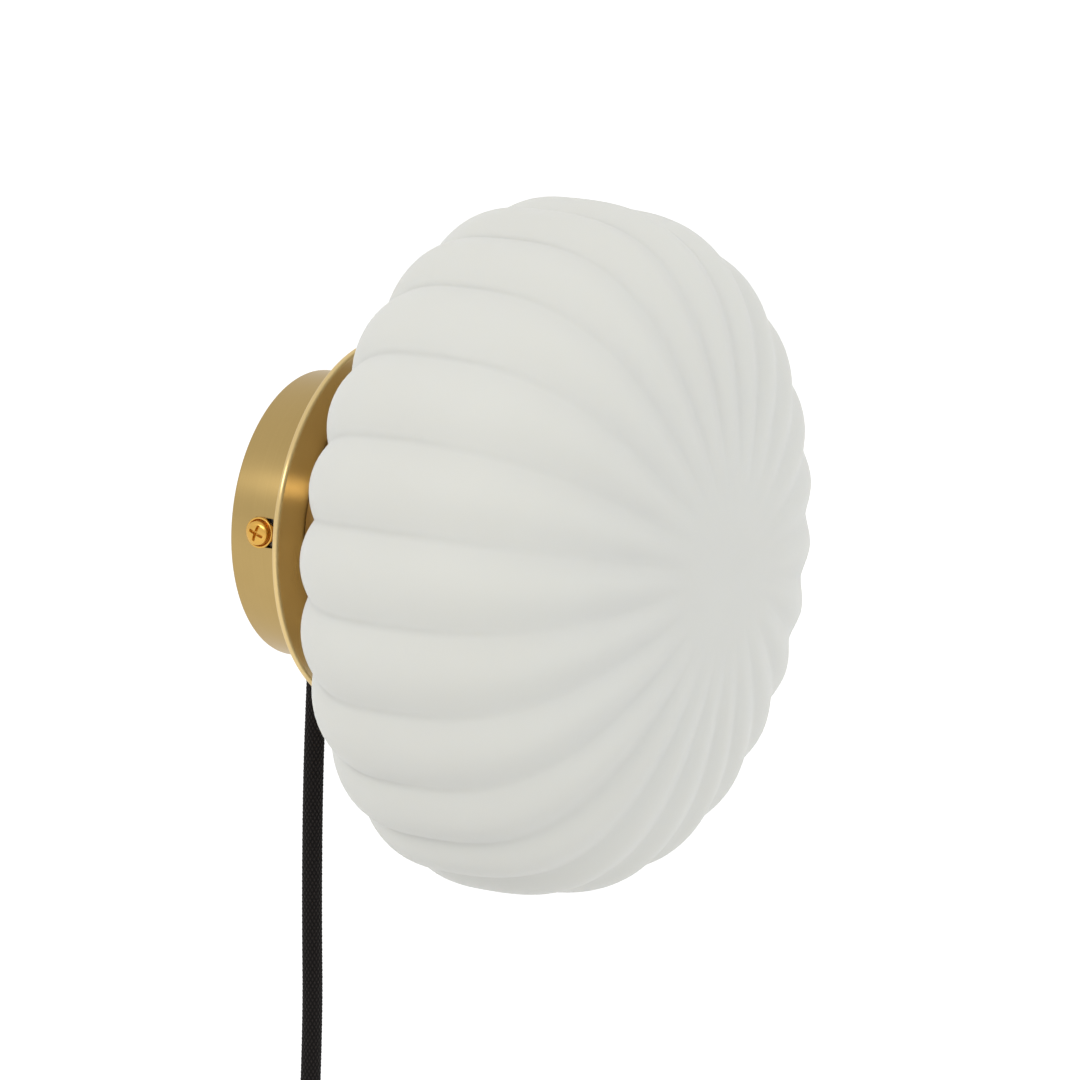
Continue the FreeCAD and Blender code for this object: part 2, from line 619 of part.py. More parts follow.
def shade_inside():
    """The hollow of the shade as a solid, plain and without ribs, open through the neck"""
    glass = mm("glass")
    across = mm("shade_radius - rib_depth - glass")
    front, back = mm("shade_front - glass"), mm("shade_back - glass")
    middle, bore = mm("shade_off"), mm("neck_radius - glass")
    start = section_angle(mm("neck_radius + 1"), across, -back, mm("back_roundness"))
    points = []
    for step in range(17):
        point, _ = section_point(start + (math.pi / 2 - start) * step / 16, across, front, back)
        points.append(Vector(point.x if step < 16 else 0, -middle - point.y, 0))
    _, outward = section_point(start, across, front, back)
    way = Vector(-outward.y, -outward.x, 0)
    inside = Part.BSplineCurve()
    inside.interpolate(points, InitialTangent=way, FinalTangent=Vector(-1, 0, 0))
    turn = Vector(bore, points[0].y + 1.5 * glass, 0)
    shoulder = Part.BSplineCurve()
    shoulder.interpolate([turn, points[0]], InitialTangent=Vector(0, -1, 0), FinalTangent=way)
    mouth = Vector(bore, 1 - mm(NECK_END), 0)
    axis = Vector(0, mouth.y, 0)
    section = Part.Wire([Part.LineSegment(axis, mouth).toShape(), Part.LineSegment(mouth, turn).toShape(),
                         shoulder.toShape(), inside.toShape(),
                         Part.LineSegment(points[-1], axis).toShape()])
    return Part.Face(section).revolve(Vector(), Vector(0, 1, 0), 360)


def make_glass_shade():
    """Blown opal glass with convex ribs that meet in sharp valleys and fade into a plain middle,
    on a neck that stands in the shade ring"""
    ribs = doc.addObject("Part::Feature", "ribbed_form")
    ribs.Shape = ribbed_form()
    root = "((neck_radius + neck_shoulder) / shade_radius)"
    level = f"(shade_off - shade_back * (1 - {root} ^ back_roundness) ^ (1 / back_roundness))"
    neck = turned([(0, NECK_END), ("neck_radius - neck_lip", NECK_END, "neck_lip"),
                   ("neck_radius", f"{NECK_END} + neck_lip"),
                   ("neck_radius", f"{level} - neck_fillet", "0 - neck_fillet"),
                   ("neck_radius + neck_fillet", level), ("neck_radius + neck_fillet", f"{level} + 1"),
                   (0, f"{level} + 1")], "neck_form")
    hollow = doc.addObject("Part::Feature", "hollow_form")
    hollow.Shape = shade_inside()
    piece(cut(fuse(ribs, neck), hollow), "glass_shade")


# The lampholder and the bulb

def make_nipple():
    """Threaded tube that carries the lampholder and lets the leads through, with its two nuts"""
    tube = turned([("nipple_bore", "nipple_back"), ("nipple_radius", "nipple_back"),
                   ("nipple_radius", "nipple_back + nipple_length"),
                   ("nipple_bore", "nipple_back + nipple_length")], "nipple")
    piece(tube, "nipple")
    nuts = []
    for seat in (PLATE_BACK, f"{PLATE_FRONT} + bracket_sheet + nipple_nut"):
        prism = doc.addObject("Part::Prism", "hexagon")
        prism.Polygon = 6
        bind(prism, Circumradius="nipple_flats / sqrt(3)", Height="nipple_nut")
        bore = cylinder("nipple_radius + thread_clearance", "3 * nipple_nut", z="0 - nipple_nut")
        nut = cut(prism, bore)
        place(nut, 0, seat, 0, TO_WALL)
        nuts.append(nut)
    group("nipple_nuts", nuts)


def make_holder_bracket():
    """Steel strap bent to a U, on the threaded tube, whose legs hold the lampholder"""
    body = doc.addObject("PartDesign::Body", "holder_bracket")
    back = f"0 - {PLATE_FRONT}"
    top = f"{back} - bracket_leg"
    outside = BRACKET_LEG_OUTSIDE
    inside = f"({outside} - bracket_sheet)"
    strap = sketch(body, "XY_Plane")
    add_outline(strap, [(f"0 - {outside}", back), (f"0 - {outside}", top), (f"0 - {inside}", top),
                        (f"0 - {inside}", f"{back} - bracket_sheet"),
                        (inside, f"{back} - bracket_sheet"), (inside, top), (outside, top),
                        (outside, back)])
    pad(body, strap, "bracket_width", both=True)
    hole = sketch(body, "XZ_Plane")
    add_circle(hole, 0, 0, "nipple_radius + hole_clearance")
    pocket(body, hole, f"4 * {PLATE_FRONT}")
    sides = sketch(body, "YZ_Plane")
    add_circle(sides, f"0 - {HOLDER_SCREW}", 0, "ring_screw_radius + hole_clearance")
    pocket(body, sides, f"4 * {outside}")
    piece(body, "holder_bracket")


def make_lampholder():
    """Ceramic two-pin lampholder, with a socket for each looped pin"""
    body = turned([(0, HOLDER_BACK), (f"holder_radius - holder_edge", HOLDER_BACK),
                   ("holder_radius", f"{HOLDER_BACK} + holder_edge"),
                   ("holder_radius", f"{HOLDER_FRONT} - holder_edge"),
                   ("holder_radius - holder_edge", HOLDER_FRONT), (0, HOLDER_FRONT)], "lampholder")
    for side in (-1, 1):
        socket = sketch(body, "XZ_Plane", HOLDER_FRONT)
        add_outline(socket, box_corners(f"{side} * pin_spacing / 2 - socket_width / 2",
                                        f"{side} * pin_spacing / 2 + socket_width / 2",
                                        "0 - socket_height / 2", "socket_height / 2"))
        pocket(body, socket, "socket_depth", both=False)
        lead = sketch(body, "XZ_Plane", HOLDER_BACK)
        add_circle(lead, f"{side} * 1.4", 0, "core_radius + 0.1")
        pocket(body, lead, "3", both=False, reverse=True)
    sides = sketch(body, "YZ_Plane", "holder_radius")
    add_circle(sides, f"0 - {HOLDER_SCREW}", 0, "ring_screw_radius + thread_clearance")
    pocket(body, sides, "2.6", both=False)
    other = sketch(body, "YZ_Plane", "0 - holder_radius")
    add_circle(other, f"0 - {HOLDER_SCREW}", 0, "ring_screw_radius + thread_clearance")
    pocket(body, other, "2.6", both=False, reverse=True)
    piece(body, "lampholder")
    screws = []
    for side, turn in ((-1, TO_LEFT), (1, TO_RIGHT)):
        screws.append(pan_screw("small_head_radius", "small_head_height", "ring_screw_radius",
                                "bracket_sheet + 2.4", f"{side} * {BRACKET_LEG_OUTSIDE}",
                                HOLDER_SCREW, 0, turn))
    group("holder_screws", screws)


def make_bulb():
    """Small two-pin bulb: plastic base, frosted cover and two looped pins"""
    base = turned([(0, BULB_BACK), ("bulb_neck - 0.6", BULB_BACK), ("bulb_neck", f"{BULB_BACK} + 0.6"),
                   ("bulb_neck", f"{BULB_BACK} + 4"), ("bulb_radius - 0.4", f"{BULB_JOINT} - 3"),
                   ("bulb_radius - 0.4", BULB_JOINT), (0, BULB_JOINT)], "bulb_base")
    piece(base, "bulb_base")
    front = f"{BULB_JOINT} + bulb_cover_length"
    cover = turned([(0, BULB_JOINT), ("bulb_radius", BULB_JOINT),
                    ("bulb_radius", f"{front} - bulb_radius", "bulb_radius"), (0, front)],
                   "bulb_cover")
    piece(cover, "bulb_cover")
    pins = []
    for side in (-1, 1):
        x = mm(f"{side} * pin_spacing / 2")
        spread = mm("bulb_pin_spread")
        root = -mm(BULB_BACK)
        bend = -mm(f"{BULB_BACK} - bulb_pin_length + bulb_pin_radius + bulb_pin_spread")
        tip = bend + spread
        path = Part.Wire([Part.LineSegment(Vector(x, root, -spread), Vector(x, bend, -spread)).toShape(),
                          Part.Arc(Vector(x, bend, -spread), Vector(x, tip, 0),
                                   Vector(x, bend, spread)).toShape(),
                          Part.LineSegment(Vector(x, bend, spread), Vector(x, root, spread)).toShape()])
        pins.append(pipe(path, mm("bulb_pin_radius")))
    looped = doc.addObject("Part::Feature", "bulb_pins")
    looped.Shape = Part.makeCompound(pins)
    piece(looped, "bulb_pins")


# Cords and wires

def pipe(path, radius):
    """A round tube along a path"""
    start = path.OrderedEdges[0]
    way = start.tangentAt(start.FirstParameter)
    ring = Part.Wire(Part.Circle(path.OrderedVertexes[0].Point, way, radius).toShape())
    return path.makePipeShell([ring], True, False)


def routed(points, radius, label):
    """A tube of straight runs joined by tangent arcs, each as large as its two runs allow"""
    corners = [Vector(x, -off, z) for x, off, z in points]
    edges = []
    length = 0.0
    least = None
    last = corners[0]
    for before, corner, after in zip(corners, corners[1:], corners[2:]):
        come = (corner - before).normalize()
        go = (after - corner).normalize()
        trim = 0.45 * min((corner - before).Length, (after - corner).Length)
        half = come.getAngle(go) / 2
        bend = trim / math.tan(half)
        least = bend if least is None else min(least, bend)
        enter, leave = corner - come * trim, corner + go * trim
        middle = corner + (go - come).normalize() * (bend / math.cos(half) - bend)
        edges.append(Part.LineSegment(last, enter).toShape())
        edges.append(Part.Arc(enter, middle, leave).toShape())
        last = leave
    edges.append(Part.LineSegment(last, corners[-1]).toShape())
    path = Part.Wire(edges)
    length = path.Length
    solid = pipe(path, radius)
    section = math.pi * radius ** 2
    print(f"{label}: length {length:.1f}, least bend {least or 0:.1f}, "
          f"volume over section times length {solid.Volume / section / length:.4f}")
    return solid


def tube(label, routes, radius):
    """A node of one or more routed tubes"""
    thing = doc.addObject("Part::Feature", label)
    solids = [routed(route, mm(radius), label) for route in routes]
    thing.Shape = solids[0] if len(solids) == 1 else Part.makeCompound(solids)
    piece(thing, label)


def make_cord_bush():
    """Rubber bush that lines the cup's notch round the cord, cut flat at the wall"""
    inner = cylinder(f"{NOTCH_RADIUS} + bush_flange", "bush_flange_thickness", 0, "cord_off",
                     "0 - (cup_radius - cup_wall - 0.8)")
    floor = block(f"3 * {NOTCH_RADIUS}", "cup_radius", "4 * bush_flange_thickness", 0, "cup_floor + 0.1",
                  "0 - cup_radius")
    inner = cut(inner, floor)
    barrel = cylinder(f"{NOTCH_RADIUS} - 0.05", "cup_wall + 2 + bush_flange_thickness", 0, "cord_off",
                      "0 - (cup_radius + 0.3 + bush_flange_thickness)")
    outer = cylinder(f"{NOTCH_RADIUS} + bush_flange", "bush_flange_thickness", 0, "cord_off",
                     "0 - (cup_radius + 0.3 + bush_flange_thickness)")
    bore = cylinder("cord_radius + cord_play", "cup_radius", 0, "cord_off", "0 - 1.5 * cup_radius")
    wall = block("cup_radius", "cup_radius", "cup_radius", 0, "0.1", "0 - 1.5 * cup_radius")
    place(wall, "0 - cup_radius / 2", "0.1", "0 - 1.5 * cup_radius")
    piece(cut(fuse(inner, barrel, outer), bore, wall), "cord_bush")


def make_cord_clamp():
    """Nylon clamp that holds the cord to the cup's floor, with its two screws"""
    low = f"0 - {CLAMP_DOWN} - clamp_height / 2"
    saddle = block("clamp_breadth", "clamp_thickness", "clamp_height", 0,
                   "cup_floor + clamp_thickness", low)
    bore = cylinder("cord_radius + cord_play", "2 * clamp_height", 0, "cord_off", f"{low} - 1")
    mouth = block("2 * (cord_radius + cord_play)", "cord_off", "2 * clamp_height", 0, "cord_off",
                  f"{low} - 1")
    holes = []
    screws = []
    for side in (-1, 1):
        x = f"{side} * clamp_screw_reach"
        holes.append(cylinder("ring_screw_radius + hole_clearance", "4 * clamp_thickness", x, "0 - 5",
                              f"0 - {CLAMP_DOWN}", TO_ROOM))
        screws.append(pan_screw("small_head_radius", "small_head_height", "ring_screw_radius",
                                "clamp_thickness + cup_floor - 0.3", x,
                                "cup_floor + clamp_thickness", f"0 - {CLAMP_DOWN}", TO_ROOM))
    piece(cut(saddle, bore, mouth, *holes), "cord_clamp")
    group("clamp_screws", screws)


def make_terminal_block():
    """Push-in terminal block on the cup's floor, two poles, with the entries below"""
    house = block("block_width", "block_thickness", "block_height", 0, "cup_floor + block_thickness",
                  "block_up")
    entries = []
    for x in CORE_PLACES:
        for off in (CORE_OFF, LEAD_OFF):
            entries.append(cylinder("core_radius + 0.15", "6.2", x, off, "block_up - 0.2"))
    levers = []
    for x in CORE_PLACES:
        levers.append(block("5.6", "2.2", "7.6", x, "cup_floor + block_thickness + 2.2",
                            "block_up + 2.2"))
    piece(cut(house, *entries), "terminal_block")
    group("terminal_levers", levers)


CORE_PLACES = (-4.6, 4.6)
CORE_OFF = 4.6
LEAD_OFF = 9.4
CORD_END = -23.0

# Each route's points are (x, off the wall, z).
CORE_ROUTES = [[(side * 1.35, 4.7, CORD_END), (side * 1.35, 4.7, -14.0), (side * 2.2, 4.7, -2.0),
                (side * 3.8, 4.6, 9.0), (side * 4.6, 4.6, 19.0), (side * 4.6, 4.6, 27.5)]
               for side in (-1, 1)]
LEAD_ROUTES = [[(side * 4.6, 9.4, 27.5), (side * 4.6, 9.4, 19.0), (side * 3.0, 9.6, 9.2),
                (side * 1.8, 12.4, 2.4), (side * 1.4, 18.4, 0.0), (side * 1.4, 31.6, 0.0)]
               for side in (-1, 1)]
# Through the clamp and the bush, down the wall and into the switch.
CORD_ROUTE = [(0, 4.7, CORD_END), (0, 4.7, -50.0), (0, 5.0, -82.0), (0, 6.6, -120.0),
              (0, 9.0, -158.0), (0, 9.0, -196.0)]
# Out of the switch and back to the wall, where the coil starts.
LINK_ROUTE = [(0, 9.0, -247.0), (0, 9.0, -257.0), (0, 7.2, -267.5), (0, 4.6, -278.5),
              (0, 3.8, -288.5), (0, 3.8, -297.8)]


def biarc(start, start_way, stop, stop_way):
    """Two arcs that leave start along start_way and reach stop along stop_way"""
    across = stop - start
    spread = 1 - start_way.dot(stop_way)
    along = across.dot(start_way + stop_way)
    root = math.sqrt(along ** 2 + 2 * spread * across.dot(across))
    reach = (root - along) / (2 * spread)
    near, far = start + start_way * reach, stop - stop_way * reach
    middle = (near + far) / 2
    arcs = []
    for one, corner, other in ((start, near, middle), (middle, far, stop)):
        weight = (other - one).Length / 2 / reach
        crown = ((one + other) / 2 + corner * weight) / (1 + weight)
        arcs.append(Part.Arc(one, crown, other))
    return arcs


def coil_stations():
    """Places and ways of the coiled cord at each quarter turn. It spirals in against the wall,
    climbs a layer in the half turn where it reverses, and spirals out again."""
    turns, pitch, outer = mm("coil_turns"), mm("coil_pitch"), mm("coil_radius")
    stations = []
    for quarter in range(int(4 * turns) + 1):
        turn = quarter / 4
        angle = math.pi + 2 * math.pi * turn
        inward = turn - turns / 2
        radius = outer - pitch * (turns / 2 - abs(inward))
        growth = 0 if quarter in (0, 2 * turns, 4 * turns) else math.copysign(pitch, inward)
        climb = min(max(inward * 2 + 0.5, 0), 1)
        lift = 2 * pitch if abs(inward) < 0.2 else pitch if abs(inward) < 0.3 else 0
        radial = Vector(math.cos(angle), 0, math.sin(angle))
        along = Vector(-math.sin(angle), 0, math.cos(angle))
        centre = Vector(outer, -mm("coil_off") - pitch * climb, -mm("coil_down"))
        way = radial * growth + along * (2 * math.pi * radius) - Vector(0, lift, 0)
        stations.append((centre + radial * radius, way.normalize()))
    return stations


def make_cord_coil():
    """The length of cord that is put away: a tied coil of two layers, hung against the wall"""
    stations = coil_stations()
    diameter = 2 * mm("cord_radius")
    arcs = []
    for (start, start_way), (stop, stop_way) in zip(stations, stations[1:]):
        arcs.extend(biarc(start, start_way, stop, stop_way))
    first, first_way = stations[0]
    last, last_way = stations[-1]
    edges = [Part.LineSegment(first - first_way * diameter, first).toShape()]
    edges.extend(arc.toShape() for arc in arcs)
    edges.append(Part.LineSegment(last, last + last_way * diameter).toShape())
    path = Part.Wire(edges)
    coil = doc.addObject("Part::Feature", "cord_coil")
    coil.Shape = pipe(path, mm("cord_radius"))
    piece(coil, "cord_coil")
    section = math.pi * mm("cord_radius") ** 2
    print(f"cord_coil: length {path.Length:.1f}, least bend "
          f"{min(edge.Curve.Radius for edge in edges[1:-1]):.1f}, "
          f"volume over section times length {coil.Shape.Volume / section / path.Length:.4f}")
    print(f"cord_coil: least gap between turns {least_gap(path, diameter):.2f}")


def least_gap(path, diameter):
    """The least gap of a tube to itself, on points along its path"""
    points = path.discretize(Number=900)
    step = path.Length / (len(points) - 1)
    apart = int(4 * diameter / step)
    gaps = [points[i].distanceToPoint(points[j]) for i in range(len(points))
            for j in range(i + apart, len(points))]
    return min(gaps) - diameter


def make_coil_tie():
    """Hook and loop band round the coiled turns, at three o'clock"""
    inner = "(coil_radius - coil_pitch * (coil_turns - 1) / 2)"
    bow = f"(tie_width ^ 2 / 8 / {inner})"
    left = f"coil_radius + {inner} - cord_radius - 1.5 * seat_gap - {bow}"
    right = "2 * coil_radius - coil_pitch / 2 + cord_radius + seat_gap"
    back = "coil_off - cord_radius - 0.35"
    front = f"{TAIL_OFF} + cord_radius + seat_gap"
    body = doc.addObject("PartDesign::Body", "coil_tie")
    band = sketch(body, "XY_Plane", "0 - coil_down")
    outer = ("tie_thickness", 3.0)
    for grow, corner in ((outer[0], outer[1]), ("0", 2.0)):
        add_outline(band, round_corners(f"({left} - {grow})", f"({right} + {grow})",
                                        f"(0 - ({front}) - {grow})", f"(0 - ({back}) + {grow} * 0.3)",
                                        corner))
    pad(body, band, "tie_width", both=True)
    piece(body, "coil_tie")


# The switch

def switch_half(label, back, front, hollow_to, round_edge):
    """One half of the switch's housing, open at the joint"""
    body = doc.addObject("PartDesign::Body", label)
    low, high = SWITCH_BOTTOM, SWITCH_TOP
    shell = sketch(body, "XZ_Plane", back)
    add_outline(shell, round_corners("0 - switch_width / 2", "switch_width / 2", low, high,
                                     "switch_corner"))
    pad(body, shell, f"{front} - {back}")
    if round_edge:
        face = [f"Face{index + 1}" for index, item in enumerate(body.Shape.Faces)
                if item.BoundBox.YLength < 1e-6 and abs(item.BoundBox.YMin + mm(round_edge)) < 1e-6]
        plain = body.Tip
        edge = body.newObject("PartDesign::Fillet", "edge")
        edge.Base = (plain, face)
        bind(edge, Radius="switch_round")
        body.Tip = edge
        doc.recompute()
    inside = sketch(body, "XZ_Plane", hollow_to[0])
    add_outline(inside, round_corners("(0 - switch_width / 2 + switch_wall)",
                                      "(switch_width / 2 - switch_wall)", f"({low} + switch_wall)",
                                      f"({high} - switch_wall)", "(switch_corner - switch_wall)"))
    pocket(body, inside, hollow_to[1], both=False, reverse=hollow_to[2])
    entry = sketch(body, "XY_Plane", "0 - switch_down")
    add_circle(entry, 0, "0 - switch_split", "cord_radius + cord_play")
    pocket(body, entry, "switch_length + 2")
    return body


def make_switch():
    """In-line switch: two screwed halves, with a rocker on its axle in the front one"""
    base = switch_half("switch_base", "switch_back", "switch_split",
                       ("switch_split", "switch_split - switch_back - switch_wall", False), None)
    posts = sketch(base, "XZ_Plane", "switch_back")
    for x, z in SWITCH_SCREWS:
        add_circle(posts, x, f"0 - switch_down + {z}", "3.2")
    pad(base, posts, "switch_split - switch_back")
    bores = sketch(base, "XZ_Plane", "switch_back")
    for x, z in SWITCH_SCREWS:
        add_circle(bores, x, f"0 - switch_down + {z}", "ring_screw_radius + hole_clearance")
    pocket(base, bores, "4 * switch_split")
    sinks = sketch(base, "XZ_Plane", "switch_back")
    for x, z in SWITCH_SCREWS:
        add_circle(sinks, x, f"0 - switch_down + {z}", "small_head_radius + 0.1")
    pocket(base, sinks, "small_head_height + 0.4", both=False, reverse=True)
    piece(base, "switch_base")

    cover = switch_half("switch_cover", "switch_split", "switch_front",
                        ("switch_split", "switch_front - switch_split - switch_wall", True),
                        "switch_front")
    cheeks = sketch(cover, "XZ_Plane", "switch_front - switch_wall")
    half = "rocker_width / 2 + rocker_gap"
    for side in (-1, 1):
        inner, outer = f"{side} * ({half})", f"{side} * ({half} + switch_wall)"
        left, right = (inner, outer) if side > 0 else (outer, inner)
        add_outline(cheeks, box_corners(left, right, "0 - switch_down - 5", "0 - switch_down + 5"))
    pad(cover, cheeks, "switch_front - switch_wall - rocker_pivot + 2.6", reverse=True)
    posts = sketch(cover, "XZ_Plane", "switch_split")
    for x, z in SWITCH_SCREWS:
        add_circle(posts, x, f"0 - switch_down + {z}", "3.2")
    pad(cover, posts, "switch_front - switch_split - switch_wall")
    window = sketch(cover, "XZ_Plane", "switch_front")
    add_outline(window, box_corners(f"0 - ({half})", half,
                                    "0 - switch_down - rocker_length / 2 - rocker_swing",
                                    "0 - switch_down + rocker_length / 2 + rocker_swing"))
    pocket(cover, window, "2 * switch_wall + 1")
    bores = sketch(cover, "XZ_Plane", "switch_split")
    for x, z in SWITCH_SCREWS:
        add_circle(bores, x, f"0 - switch_down + {z}", "ring_screw_radius + thread_clearance")
    pocket(cover, bores, "4.5", both=False, reverse=True)
    pivot = sketch(cover, "YZ_Plane")
    add_circle(pivot, "0 - rocker_pivot", "0 - switch_down", "axle_radius + thread_clearance")
    pocket(cover, pivot, "rocker_width + 2 * rocker_gap + 2 * switch_wall + 0.4")
    piece(cover, "switch_cover")

    screws = []
    for x, z in SWITCH_SCREWS:
        screws.append(pan_screw("small_head_radius", "small_head_height", "ring_screw_radius", "9.6",
                                x, "switch_back + small_head_height + 0.4",
                                f"0 - switch_down + {z}", TO_WALL))
    group("switch_screws", screws)
    axle = cylinder("axle_radius", "rocker_width + 2 * rocker_gap + 2 * switch_wall",
                    "0 - rocker_width / 2 - rocker_gap - switch_wall", "rocker_pivot",
                    "0 - switch_down", TO_RIGHT)
    piece(axle, "rocker_axle")
    make_rocker()


SWITCH_SCREWS = ((-7.6, 19.0), (7.6, -19.0))


def make_rocker():
    """Rocker with a shallow valley across its top, shown tipped to off"""
    body = doc.addObject("PartDesign::Body", "switch_rocker")
    side = sketch(body, "YZ_Plane")
    half = "rocker_length / 2"
    top = "0 - (switch_front - rocker_pivot + 2.0)"
    dip = "0 - (switch_front - rocker_pivot + 0.6)"
    low = "0 - (switch_front - rocker_pivot - 1.6)"
    hub = "2.7"
    add_outline(side, [(top, f"0 - {half} + 0.8"), (f"{top} + 0.8", f"0 - {half}"),
                       (low, f"0 - {half}"), (f"{low} + 1.2", "0 - 5.2"), (0, f"0 - {hub}", hub),
                       (hub, 0, hub), (0, hub), (f"{low} + 1.2", "5.2"), (low, half),
                       (f"{top} + 0.8", half), (top, f"{half} - 0.8"), (dip, 0)])
    pad(body, side, "rocker_width", both=True)
    bore = sketch(body, "YZ_Plane")
    add_circle(bore, 0, 0, "axle_radius + thread_clearance")
    pocket(body, bore, "2 * rocker_width")
    body.Placement = Placement(Vector(), Rotation(Vector(1, 0, 0), 0))
    body.setExpression("Placement.Rotation.Axis.x", "1")
    body.setExpression("Placement.Rotation.Axis.z", "0")
    body.setExpression("Placement.Rotation.Angle", bound("0 - rocker_tilt"))
    body.setExpression("Placement.Base.y", bound("0 - rocker_pivot"))
    body.setExpression("Placement.Base.z", bound("0 - switch_down"))
    piece(body, "switch_rocker")


# The plug

def make_plug():
    """Flat two-pin plug that hangs below the coil, with its flexible sleeve"""
    body = doc.addObject("PartDesign::Body", "plug_body")
    sections = []
    for level, width, depth, corner in ((PLUG_TOP, "14", "11.4", "3.6"),
                                        (f"{PLUG_TOP} - plug_length * 0.3", "22", "13.2", "3.8"),
                                        (f"{PLUG_TOP} - plug_length * 0.55", "plug_width * 0.8",
                                         "plug_thickness", "plug_corner"),
                                        (f"{PLUG_FACE} + 2.5", "plug_width", "plug_thickness",
                                         "plug_corner"),
                                        (PLUG_FACE, "plug_width - 1", "plug_thickness - 1",
                                         "plug_corner - 0.5")):
        drawing = sketch(body, "XY_Plane", level)
        add_outline(drawing, round_corners(f"(0 - ({width}) / 2)", f"(({width}) / 2)",
                                           f"(0 - {TAIL_OFF} - ({depth}) / 2)",
                                           f"(0 - {TAIL_OFF} + ({depth}) / 2)", f"({corner})"))
        sections.append(drawing)
    loft = body.newObject("PartDesign::AdditiveLoft", "loft")
    loft.Profile = sections[0]
    loft.Sections = sections[1:]
    loft.Ruled = True
    body.Tip = loft
    doc.recompute()
    for side in (-1, 1):
        root = sketch(body, "XY_Plane", PLUG_FACE)
        add_circle(root, f"{side} * mains_pin_spacing / 2", f"0 - {TAIL_OFF}",
                   "mains_pin_radius + 0.02")
        pocket(body, root, "6", both=False, reverse=True)
    entry = sketch(body, "XY_Plane", PLUG_TOP)
    add_circle(entry, 0, f"0 - {TAIL_OFF}", "cord_radius + 0.02")
    pocket(body, entry, "4", both=False)
    piece(body, "plug_body")

    sleeve = cone("5.4", "4.2", "sleeve_length", 0, TAIL_OFF, PLUG_TOP)
    bore = cylinder("cord_radius + 0.02", "sleeve_length + 2", 0, TAIL_OFF, f"{PLUG_TOP} - 1")
    grooves = []
    for index in range(5):
        ring = cylinder("7", "1.2", 0, TAIL_OFF, f"{PLUG_TOP} + 4 + {index} * 4.2")
        core = cylinder("4.0", "1.6", 0, TAIL_OFF, f"{PLUG_TOP} + 3.8 + {index} * 4.2")
        grooves.append(cut(ring, core))
    piece(cut(sleeve, bore, *grooves), "plug_sleeve")

    pins = []
    guards = []
    for side in (-1, 1):
        x = f"{side} * mains_pin_spacing / 2"
        shaft = cylinder("mains_pin_radius", "mains_pin_length + 5 - 1.2", x, TAIL_OFF,
                         f"{PLUG_FACE} - mains_pin_length + 1.2")
        tip = cone("mains_pin_radius * 0.5", "mains_pin_radius", "1.2", x, TAIL_OFF,
                   f"{PLUG_FACE} - mains_pin_length")
        waist = cylinder("mains_pin_radius + 1", "10", x, TAIL_OFF, f"{PLUG_FACE} - 10")
        core = cylinder("mains_pin_radius - 0.4", "12", x, TAIL_OFF, f"{PLUG_FACE} - 11")
        pins.append(cut(fuse(shaft, tip), cut(waist, core)))
        guards.append(cut(cylinder("mains_pin_radius - 0.05", "9.9", x, TAIL_OFF,
                                   f"{PLUG_FACE} - 9.95"),
                          cylinder("mains_pin_radius - 0.38", "12", x, TAIL_OFF,
                                   f"{PLUG_FACE} - 11")))
    group("mains_pins", pins)
    group("pin_guards", guards)


make_wall_cup()
make_front_plate()
make_inner_collar()
make_collar_nuts()
make_side_screws()
make_shade_ring()
make_gasket()
make_glass_shade()
make_nipple()
make_holder_bracket()
make_lampholder()
make_bulb()
make_cord_bush()
make_cord_clamp()
make_terminal_block()
tube("cord_cores", CORE_ROUTES, "core_radius")
tube("holder_leads", LEAD_ROUTES, "core_radius")
tube("cord_upper", [CORD_ROUTE], "cord_radius")
make_switch()
tube("cord_link", [LINK_ROUTE], "cord_radius")
make_cord_coil()
make_coil_tie()
tail_top = -mm("coil_down") - 2 * mm("cord_radius")
tube("cord_tail", [[(0, mm(TAIL_OFF), tail_top), (0, mm(TAIL_OFF), mm(PLUG_TOP) - 3.8)]], "cord_radius")
make_plug()
doc.recompute()

for thing in doc.Objects:
    if {"Invalid", "Error"} & set(thing.State):
        raise RuntimeError(f"{thing.Name} ({thing.Label}) failed: {thing.State}")
for thing in pieces:
    if thing.Shape.isNull() or not thing.Shape.isValid() or not thing.Shape.Solids:
        raise RuntimeError(f"{thing.Label} has no valid solid")

os.makedirs("parts", exist_ok=True)
for thing in pieces:
    thing.Shape.exportStep(f"parts/{thing.Label}.step")
print(f"{len(pieces)} pieces")
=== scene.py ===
"""Wall sconce: a ribbed opal glass shade on a brass wall cup, with its cord, switch and plug."""
import math
import bmesh
import bpy
import numpy as np
from mathutils import Matrix


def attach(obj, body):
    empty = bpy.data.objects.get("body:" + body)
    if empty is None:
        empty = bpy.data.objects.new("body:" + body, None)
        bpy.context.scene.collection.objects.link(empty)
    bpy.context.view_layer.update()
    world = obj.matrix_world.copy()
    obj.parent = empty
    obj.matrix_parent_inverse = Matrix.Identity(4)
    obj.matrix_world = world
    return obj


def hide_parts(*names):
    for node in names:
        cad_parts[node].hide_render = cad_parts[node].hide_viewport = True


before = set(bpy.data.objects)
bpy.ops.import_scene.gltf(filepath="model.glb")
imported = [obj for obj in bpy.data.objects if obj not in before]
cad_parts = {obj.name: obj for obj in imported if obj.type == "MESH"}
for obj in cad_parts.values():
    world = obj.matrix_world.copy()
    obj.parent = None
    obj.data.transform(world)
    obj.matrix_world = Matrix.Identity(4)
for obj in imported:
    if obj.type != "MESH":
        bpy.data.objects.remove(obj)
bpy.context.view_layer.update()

# Camera, to the left of the lamp's axis and a little above it, 1.2 m away and leaning by three
# degrees. It aims at the middle of the glass, and the lens is its focal length in pixels of the
# square picture of 1080. Places are in metres: the wall is y = 0 and the room is at -y.
azimuth, elevation, lean = np.radians([-60.7, 9.0, 3.0])
